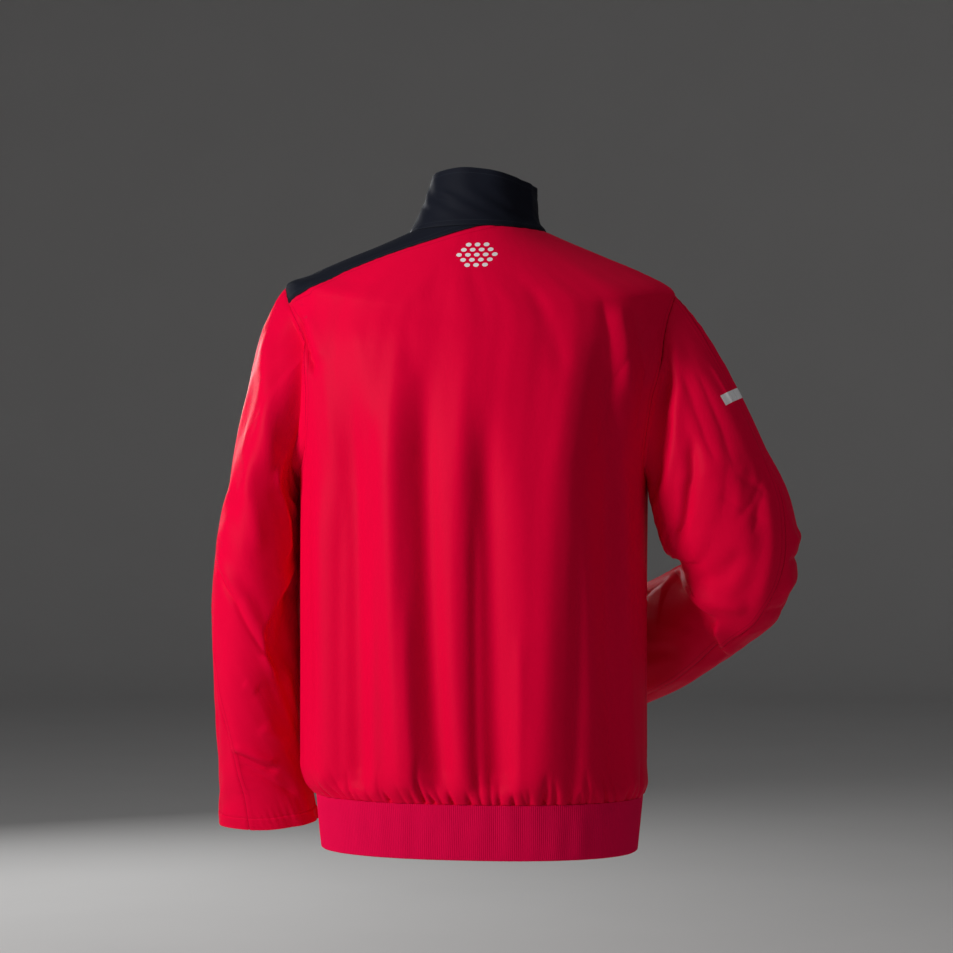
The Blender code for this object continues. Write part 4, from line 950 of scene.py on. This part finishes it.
def armBase(arm, section, degrees):
    # Section -1 is the armhole and 0 the top of the tube, with a curved patch between them.
    tube, _ = tubePoint(arm, np.maximum(section, 0.0), degrees)
    top, down = tubePoint(arm, np.zeros_like(section), degrees)
    hole = armholePoint(arm["side"], degrees)
    around = np.mod(degrees, 360.0)
    *lead, pullAway, pullDown = (column(arm["cap"], i, around) for i in range(1, 6))
    reach = np.linalg.norm(top - hole, axis=-1)
    leave = unit(np.stack(lead, axis=-1)) * (reach * pullAway)[..., None]
    arrive = down * (reach * pullDown)[..., None]
    patch = hermite(np.clip(section + 1.0, 0.0, 1.0)[..., None], hole, leave, top, arrive)
    return np.where(section[..., None] < 0.0, patch, tube)


def creaseField(arm, section, degrees, base):
    # Creases follow lines through the sleeve's own points, so that their widths are true lengths.
    height = np.zeros_like(section)
    perSection = 60.0    # degrees about as long as one section, to tell a line's left from its right
    for kind, knots, sizes in creaseRows(arm["creases"]):
        share = np.linspace(0.0, 1.0, 6 * (len(knots) - 1) + 1) * (len(knots) - 1)
        spots = np.stack([np.interp(share, np.arange(len(knots)), axis) for axis in knots.T], axis=-1)
        distance, along = nearLine(base, armBase(arm, spots[:, 0], spots[:, 1]))
        middle = knots[:, 1].mean()
        around = np.mod(degrees - middle + 180.0, 360.0) - 180.0 + middle
        sign = sideOf(section * perSection, around, spots * np.array([perSection, 1.0]), along)
        height += creaseShape(kind, distance, sign, along, sizes)
    return height * ease((section + 1.0) / 0.03)


def armCloth(arm, section, degrees):
    last = len(arm["sections"]) - 1.0
    base = armBase(arm, section, degrees)
    away = normalOf(lambda a, b: armBase(arm, a, b), section, degrees, 0.02, 1.0, -1.0, last) * arm["side"]
    turn = np.radians(degrees)
    wave = ripple(np.sin(turn) * 1.8 + 0.3 * section, np.cos(turn) * 1.8 + 0.8 * section, arm["seed"], 7)
    height = creaseField(arm, section, degrees, base) + 0.0007 * ease((section + 1.0) / 0.35) * wave
    return base + away * height[..., None]


def sleevePanel(name, arm, behind, material, settings):
    last = len(arm["sections"]) - 1.0
    # Rows lie close together beside the armhole, at the cuff's stitching and at its edge.
    stitched = np.concatenate([np.arange(0.47, 0.31, -0.01), [0.30, 0.25, 0.20, 0.15, 0.10, 0.05, 0.025, 0.0]])
    rows = np.concatenate([-1.0 + np.array([0.0, 0.008, 0.018, 0.03, 0.045, 0.065, 0.09]),
                           np.linspace(-0.88, last - 0.49, settings["rows"]), last - stitched])
    if len(rows) % 2 == 0:
        rows = np.insert(rows, 12, rows[11:13].mean())
    start = curveThrough(np.arange(len(arm["overSeam"])) - 1.0, arm["overSeam"], rows)
    start = start + (0.0 if behind else 360.0)
    degrees = start[:, None] + (180.0 - start)[:, None] * spacing(0.15, settings["columns"])
    section = np.broadcast_to(rows[:, None], degrees.shape)
    grid = armCloth(arm, section, degrees)
    otherHalf = armBase(arm, section, 360.0 - degrees)
    away = outwardFrom(grid, (grid + otherHalf).mean(axis=1, keepdims=True) / 2.0)
    grid[0] -= unit(grid[2] - grid[0]) * bodyShape["seamLap"]
    if not behind:
        lapEnd(grid, 0)
        lapEnd(grid, -1)
    run, girth = runOf(grid), runOf(grid, axis=1)
    edges = [(endDistance(grid, 0), run[:, :1], 1.0 if behind else 0.0, behind),
             (endDistance(grid, -1), run[:, -1:], 0.0, False), (run, girth, 0.0, False)]
    # The cuff's hem: two layers up to the stitching, which lies in a shallow groove.
    look = cuffLook
    cuff = run[-1:] - run
    above = cuff - look["stitching"]
    hem = look["hem"] * (1.0 - ease(above / look["edge"])) - look["groove"] * bell(above, look["grooveWidth"])
    waves = ripple(girth / 0.012, cuff / 0.03, arm["seed"] + 3, 5)
    hem += look["pucker"] * np.exp(-np.abs(above) / look["puckerReach"]) * waves
    cuffLine = wovenLook["stitchLines"][0] + np.minimum(np.abs(above), 0.0020)
    edges.append((np.where(cuff < 0.05, cuffLine, unsewn), girth, -1.0, True))
    sewnPanel(name, grid + away * hem[..., None], away, edges, material, girth, run)


for sleeveName, arm, material, rowCount in (("cloth_sleeve_left", sleeveLeft, wovenRed, 190),
                                            ("cloth_sleeve_right", sleeveRight, wovenRedSleeve, 210)):
    for half in ("back", "front"):
        sleevePanel(sleeveName + "_" + half, arm, half == "back", material, {"rows": rowCount, "columns": 97})
print("sleeves made")


# Collar and waistband: double cloth, folded over at the free edge.
collarLook = {
    "wall": 0.0020, "height": 0.066, "columns": 221, "rows": 22, "rollRows": 7,
    # Creases round it: rise, level, level more to the left, half height, middle and half width of its reach
    "creases": ((-0.0012, 0.030, 0.012, 0.0028, 0.55, 0.28), (0.0009, 0.036, 0.014, 0.0034, 0.60, 0.25)),
}


def makeCollar(name, material):
    look = collarLook
    wall, height, rings = look["wall"], look["height"], bodyShape["collar"]
    bent = height - 0.002
    levels = joined((0.0, 0.004, 4), (0.004, bent, look["rows"]), (bent, height - wall / 2.0, 3))
    end = zipEdge(rings, levels)[:, None]
    turns = -end + 2.0 * end * spacing(0.42, look["columns"])
    tall = np.broadcast_to(levels[:, None], turns.shape)
    mid = ringPoint(rings, tall, turns)
    away = ringNormal(rings, tall, turns, height)
    side = np.sin(np.radians(turns))
    # Shallow creases where the collar bends, deeper at the sides.
    bend = -0.0007 * bell(tall - 0.020 - 0.004 * side, 0.006) * ease(np.abs(side) * 1.6)
    bend += 0.0005 * ripple(runOf(mid, axis=1) / 0.045, tall / 0.022, 71, 6) * ease(tall / 0.02)
    bend += -0.0009 * bell(tall - 0.047 + 0.006 * side, 0.0045) * ease(-side * 1.4 - 0.2)
    bend += (0.0018 * bell(side + 0.93, 0.045) - 0.0018 * bell(side + 0.80, 0.060)) * ease(tall / 0.012)
    for rise, level, slope, halfHeight, middle, reach in look["creases"]:
        bend += rise * bell(tall - level - slope * (side - 0.5), halfHeight) * bell(side - middle, reach)
    outer = mid + away * bend[..., None]
    outer = outer + away * seamRoll(runOf(outer), 1.0)[..., None]
    inner = outer - away * wall
    up = unit(outer[-1] - outer[-2]) * wall / 2.0
    middle, half = (outer[-1] + inner[-1]) / 2.0, (outer[-1] - inner[-1]) / 2.0
    turn = np.linspace(0.0, math.pi, look["rollRows"] + 2)[1:-1, None, None]
    roll = middle + half * np.cos(turn) + up * np.sin(turn)
    lap = np.array([0.0, 0.0, bodyShape["seamLap"]])
    grid = np.concatenate([outer - lap, roll, inner[::-1] - lap])
    profile, along = runOf(grid), runOf(grid, axis=1)
    fromSeam = np.concatenate([profile[:len(levels)], np.full((len(roll), grid.shape[1]), unsewn),
                               profile[:len(levels)][::-1]])
    fromTop = np.abs(profile - profile[len(levels) + len(roll) // 2])
    across = np.minimum(fromSeam, fromTop)
    ends = np.minimum(endDistance(grid, 0), endDistance(grid, -1))
    # seam also places the painted shade at the seams and along the fold at the collar's top.
    hoseStrip(name, grid, material, np.stack([along, profile], axis=-1),
              {"seam": np.minimum(across, ends), "run": np.where(ends <= across, profile, along)})


makeCollar("cloth_collar", wovenNavy)
print("collar made")

bandLook = {
    "top": -0.6333, "height": 0.060, "lap": 0.0013, "taper": 0.0060, "wall": 0.0024, "standsOut": 0.0012,
    "ribs": 430, "ribDepth": 0.00032, "pointsPerRib": 6, "rowsDown": 13, "rollRows": 5,
    "loopTall": 0.0011, "loopWide": 0.00237, "colour": (0.800, 0.0012, 0.066),
}


def knitFinish(name, look):
    # Ribbed knit: loops along each rib, soft fuzz and painted shade in the grooves between the ribs.
    finish = Finish(name, look["colour"], Specular_IOR_Level=0.05)
    across, up = finish.cut()
    bent = (across * (shaderTurn / look["loopWide"])).wave() * 0.9
    loops = (up * (shaderTurn / look["loopTall"]) + bent).wave()
    fuzz = finish.noise("UV", 900.0, 2.0, 0.6)
    slow = finish.noise("UV", 16.0)
    # The groove field is painted shade in the grooves between the ribs.
    finish.set("Base Color", finish.tones(slow, 0.90, 1.08, (finish.field("groove"), 0.32, 0.55),
                                          (fuzz, 0.30, 0.72)))
    finish.set("Roughness", fuzz * 0.12 + 0.78)
    finish.set("Normal", finish.bump(loops * 0.4 + fuzz * 0.6, 0.45, 0.00025))
    return finish.material


def makeBand(name, material):
    look = bandLook
    rings = bodyShape["rings"]
    standsOut, wall, radius, height = look["standsOut"], look["wall"], look["wall"] / 2.0, look["height"]
    end = float(zipEdge(rings, np.array(0.0)))
    fine = np.linspace(-end, end, 6001)
    run = runOf(ringPoint(rings, np.zeros_like(fine), fine))
    count = look["ribs"] * look["pointsPerRib"] + 1
    along = np.linspace(0.0, run[-1], count)
    # Down the outer face, round the fold at the foot and up the inner face.
    down = np.linspace(0.0, 1.0, look["rowsDown"])
    bend = np.linspace(0.0, math.pi, look["rollRows"] + 2)[1:-1]
    flat, plainDrop = 0.0 * down, height - radius
    profiles = ((down * plainDrop, plainDrop + radius * np.sin(bend), down[::-1] * plainDrop),
                (flat + standsOut, standsOut - radius + radius * np.cos(bend), flat + standsOut - wall),
                (flat + 1.0, np.abs(np.cos(bend)) * 0.5 + 0.5, flat - 0.6))
    drop, depth, ribbed = (np.concatenate(parts)[:, None] for parts in profiles)
    # The ribs wander a little down the band, and the band waves softly under the gathers.
    wander = 0.0014 * ripple(along / 0.12, drop / 0.12, 91, 5) * ease(drop / height)
    turns = np.interp(along + wander, run, fine)
    level = np.zeros_like(turns)
    base = ringPoint(rings, level, turns)
    ahead = ringPoint(rings, level, turns + 0.3) - ringPoint(rings, level, turns - 0.3)
    away = unit(np.cross(np.array([0.0, 0.0, 1.0]), ahead))
    middle = np.array([0.006, 0.0, 0.0])
    away *= np.sign(np.sum(away * (base - middle) * np.array([1.0, 1.0, 0.0]), axis=-1).mean())
    wave = 0.0003 * ripple(along / 0.040, drop / 0.08, 95, 6) * bell(drop - 0.5 * height, 0.035)
    fromRib = np.abs(2.0 * np.mod(np.linspace(0.0, look["ribs"], count), 1.0) - 1.0)
    plain = ease((end - np.abs(np.interp(along, run, fine))) / 0.8)    # no ribs beside the zip
    offset = depth + wave + look["ribDepth"] * (1.0 - fromRib**3.0) * plain * ribbed
    points = base + away * (offset - look["taper"] * drop / height)[..., None]
    points[..., 2] = look["top"] - drop + look["lap"] * (1.0 - drop / height)    # its top laps the cloth
    profile = runOf(np.concatenate([drop, depth], axis=1))
    uv = np.stack(np.broadcast_arrays(along, profile[:, None]), axis=-1)
    # The groove field marks where painted shade darkens the knit between the ribs.
    hoseStrip(name, points, material, uv, {"groove": np.broadcast_to(fromRib**4.0 * plain, turns.shape)})


makeBand("knit_hem_band", knitFinish("rib_red_knit", bandLook))
print("waistband made")


# Zip: two woven tapes, two rows of moulded coils and the metal parts.
zipLook = {
    "tapeHalf": 0.0150, "tapeWall": 0.0010, "chainHalf": 0.0030, "chainWall": 0.0016, "boxHeight": 0.0095,
    "tapeTop": 0.060, "chainTop": 0.052, "coilPitch": 0.0016, "colour": (0.40, 0.0015, 0.030),
    "across": (-1.0, -0.92, -0.60, -0.22, 0.0, 0.22, 0.60, 0.92, 1.0),    # shares of the chain's half width
}
forward = np.array([0.0, -1.0, 0.0])


def zipLine(distance, offset, lift):
    # Points up the zip at a distance from the band's lower edge. offset is to the wearer's left of the
    # middle front and lift is how far outside the cloth they lie.
    rings, collar = bodyShape["rings"], bodyShape["collar"]
    bandHeight, neck = bandLook["height"], bodyShape["neck"]
    level = np.clip(distance - bandHeight, 0.0, neck)
    collarLevel = np.clip(distance - bandHeight - neck, 0.0, collarLook["height"])
    drop = np.clip(bandHeight - distance, 0.0, bandHeight)
    side = np.where(offset < 0.0, -1.0, 1.0)
    onBody = bodyCloth(level, side * zipEdge(rings, level, np.abs(offset)))
    onCollar = ringPoint(collar, collarLevel, side * zipEdge(collar, collarLevel, np.abs(offset)))
    high = distance > bandHeight + neck
    lifted = lift - np.where(high, collarLook["wall"] - bodyShape["wall"], 0.0)
    lifted -= bandLook["taper"] * drop / bandHeight
    points = np.where(high[..., None], onCollar, onBody) + forward * lifted[..., None]
    points[..., 2] -= drop
    return points


def tapeFinish(name, look):
    # Herringbone tape, with painted shade in the grooves of its twill and painted light on its ridges.
    finish = Finish(name, look["colour"], Roughness=0.80, Specular_IOR_Level=0.25)
    across, up = finish.cut()
    zigzag = across.saw(0.0024).size() * 2.4
    twill = ((up / 0.0011 + zigzag) * shaderTurn).wave()
    fuzz = finish.noise("UV", 700.0, 2.0, 0.6)
    # Painted shade and light: the tone follows the twill's bump, darker in its grooves, lighter on its ridges.
    finish.set("Base Color", finish.tones(twill * 0.5 + 0.5, 0.75, 1.10, (fuzz, 0.4, 0.6)))
    finish.set("Normal", finish.bump(twill * 0.6 + fuzz * 0.4, 0.5, 0.0002))
    return finish.material


def coilFinish(name, look):
    finish = Finish(name, look["colour"], Specular_IOR_Level=0.5)
    grain = finish.noise("Object", 600.0)
    finish.set("Base Color", finish.tones(grain * 0.5, 1.15, 0.7))
    finish.set("Roughness", grain * 0.2 + 0.32)
    finish.set("Normal", finish.bump(grain, 0.2, 0.0001))
    return finish.material


def metalFinish(name):
    finish = Finish(name, (0.13, 0.135, 0.15), Metallic=1.0)
    grain = finish.noise("Object", 1500.0, 3.0, 0.6)
    worn = finish.noise("Object", 260.0)
    finish.set("Base Color", finish.mix(worn, (0.10, 0.105, 0.12, 1.0), (0.19, 0.195, 0.21, 1.0)))
    finish.set("Roughness", grain * 0.18 + 0.26)
    finish.set("Normal", finish.bump(grain, 0.12, 0.00008))
    return finish.material


def zipTop(above):
    return bandLook["height"] + bodyShape["neck"] + above


def makeTape(name, side, material):
    look = zipLook
    distance = np.linspace(0.0, zipTop(look["tapeTop"]), 361)[:, None]
    offset = side * np.linspace(-bodyShape["seamLap"] / 2.0, look["tapeHalf"], 9)[None]
    distance, offset = np.broadcast_arrays(distance, offset)
    grid = zipLine(distance, offset, np.full(distance.shape, bodyShape["seamLap"] - bodyShape["wall"]))
    shell(name, grid, np.broadcast_to(forward, grid.shape), look["tapeWall"], material,
          np.stack([offset, distance], axis=-1), {})


def makeChain(name, material):
    # Two coils side by side whose turns mesh in the middle: height is a row of rounded bars, half a
    # pitch apart on the two sides.
    look = zipLook
    foot, top = look["boxHeight"] - bodyShape["seamLap"], zipTop(look["chainTop"])
    distance = np.linspace(foot, top, int((top - foot) / look["coilPitch"]) * 5 + 1)[None]
    across = np.array(look["across"])[:, None]
    phase = distance / look["coilPitch"] * 2.0 * math.pi
    bar = 0.5 + 0.5 * np.cos(phase + np.where(across > 0.1, math.pi, 0.0))
    crown = (1.0 - 0.75 * np.abs(across) ** 6) * (1.0 - 0.30 * bell(across, 0.15))
    lift = -bodyShape["wall"] + look["chainWall"] * crown * (0.62 + 0.38 * bar)
    offset = across * look["chainHalf"] + 1e-6
    distance, offset, lift = np.broadcast_arrays(distance, offset, lift)
    back = zipLine(distance, offset[::-1], np.full(lift.shape, -bodyShape["wall"]))
    grid = np.concatenate([zipLine(distance, offset, lift), back])
    uv = np.stack([np.concatenate([offset, offset[::-1]]), np.concatenate([distance, distance])], axis=-1)
    hoseStrip(name, grid, material, uv, {})


tapeCloth = tapeFinish("zip_tape_cloth", zipLook)
makeTape("zip_tape_cloth_left", 1.0, tapeCloth)
makeTape("zip_tape_cloth_right", -1.0, tapeCloth)
makeChain("zip_coils", coilFinish("zip_nylon_coils", zipLook))
metal = metalFinish("zip_metal_satin")
for node in ("zip_slider", "zip_pull", "zip_box"):
    for materialSlot in bpy.data.objects[node].material_slots:
        materialSlot.material = metal
print("zip made")

# What each sheet stands for, its slot, how it is held and its flat cut: width, length and area.
sheets = {
    "cloth_back": ("back", "woven_red", "hung", 0.530, 0.700, 0.322),
    "cloth_front_left": ("front_left", "woven_red", "hung", 0.275, 0.680, 0.150),
    "cloth_front_right": ("front_right", "woven_red", "hung", 0.275, 0.690, 0.156),
    "cloth_yoke_left": ("yoke_left", "woven_navy", "laid", 0.130, 0.190, 0.0182),
    "cloth_collar": ("collar", "woven_navy", "folded", 0.420, 0.066, 0.0268),
    "knit_hem_band": ("hem_band", "rib_red", "gathered", 1.000, 0.060, 0.060),
    "cloth_sleeve_left_back": ("sleeve_left_back", "woven_red", "hung", 0.200, 0.640, 0.087),
    "cloth_sleeve_left_front": ("sleeve_left_front", "woven_red", "hung", 0.200, 0.640, 0.104),
    "cloth_sleeve_right_back": ("sleeve_right_back", "woven_red", "hung", 0.230, 0.640, 0.088),
    "cloth_sleeve_right_front": ("sleeve_right_front", "woven_red", "hung", 0.250, 0.640, 0.112),
    "zip_tape_cloth_left": ("zip_tape_left", "zip_cloth", "stretched", 0.015, 0.812, 0.0116),
    "zip_tape_cloth_right": ("zip_tape_right", "zip_cloth", "stretched", 0.015, 0.812, 0.0116),
}


def tie(piece, node, slotName):
    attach(piece, body)
    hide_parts(node)


for name, (node, slotName, held, width, length, area) in sheets.items():
    tie(made[name], node, slotName)
tie(made["zip_coils"], "zip_chain", "zip_nylon")
print("pieces tied to the frame")


# Floor, lights and camera.
studio = {
    "floor": -1.02, "reach": 6.0, "curve": 2.0, "walls": (4.0, 7.0), "floorColour": (0.62, 0.615, 0.61),
    "world": (0.85, 0.86, 0.90), "worldStrength": 0.060,
    # name: place, where it points, width, height, power, colour
    "lamps": {
        "key": ((1.60, 1.32, 0.22), (0.0, 0.05, -0.38), 0.45, 1.0, 39.0, (1.0, 0.985, 0.97)),
        "top": ((0.0, 0.0, 3.4), (0.0, 0.0, 0.0), 5.0, 5.0, 36.0, (1.0, 1.0, 1.0)),
        "side": ((-1.9, 1.5, 0.5), (-0.10, 0.0, -0.35), 0.8, 1.2, 3.8, (0.97, 0.98, 1.0)),
        "front": ((1.5, -2.1, 0.25), (0.0, 0.0, -0.35), 1.2, 0.6, 20.0, (1.0, 1.0, 1.0)),
    },
}


def makeFloor():
    # A floor that curves up into a wall on every side, swept as one surface.
    finish = Finish("studio_paper", studio["floorColour"], Roughness=0.9, Specular_IOR_Level=0.2)
    finish.set("Base Color", finish.tones(finish.noise("Object", 3.0, 3.0), 0.97, 1.03))
    turn = np.linspace(0.0, 2.0 * math.pi, 97)
    bend = np.linspace(0.0, math.pi / 2.0, 12)[1:]
    flat, curve = studio["reach"], studio["curve"]
    reach = np.concatenate([[0.0, flat / 2.0, flat], flat + curve * np.sin(bend), [flat + curve] * 2])[:, None]
    rise = np.concatenate([[0.0] * 3, curve - curve * np.cos(bend), studio["walls"]])[:, None]
    grid = np.stack([reach * np.cos(turn), reach * np.sin(turn), studio["floor"] + rise + 0.0 * turn], axis=-1)
    meshFrom("studio_floor", grid.reshape(-1, 3), [quads(numbered(grid))], finish.material)


def place(name, data, location):
    item = bpy.data.objects.new(name, data)
    bpy.context.collection.objects.link(item)
    item.location = location
    return item


def makeLamp(name, location, target, width, height, power, colour):
    lamp = bpy.data.lights.new(name, "AREA")
    lamp.shape = "RECTANGLE"
    lamp.size, lamp.size_y, lamp.energy, lamp.color = width, height, power, colour
    way = Vector(target) - Vector(location)
    place(name, lamp, location).rotation_euler = way.to_track_quat("-Z", "Y").to_euler()


def makeStudio():
    makeFloor()
    for name, lamp in studio["lamps"].items():
        makeLamp(name, *lamp)
    world = bpy.data.worlds.new("studio_world")
    bpy.context.scene.world = world
    world.use_nodes = True
    sky = world.node_tree.nodes["Background"]
    sky.inputs["Color"].default_value = (*studio["world"], 1.0)
    sky.inputs["Strength"].default_value = studio["worldStrength"]
    bpy.context.scene.view_settings.view_transform = "Standard"


eye = {"azimuth": 189.0, "distance": 3.0, "height": -0.275, "aside": 0.00904, "lens": 100.3, "sensor": 36.0}


def makeCamera():
    turn = math.radians(eye["azimuth"])
    camera = bpy.data.cameras.new("photo_camera")
    camera.lens = eye["lens"]
    camera.sensor_width = eye["sensor"]
    camera.clip_start = 0.05
    item = place("photo_camera", camera, (math.sin(turn) * eye["distance"] - math.cos(turn) * eye["aside"],
                                          -math.cos(turn) * eye["distance"] - math.sin(turn) * eye["aside"],
                                          eye["height"]))
    item.rotation_euler = (math.pi / 2.0, 0.0, turn)
    bpy.context.scene.camera = item


makeStudio()
makeCamera()
print("studio made")

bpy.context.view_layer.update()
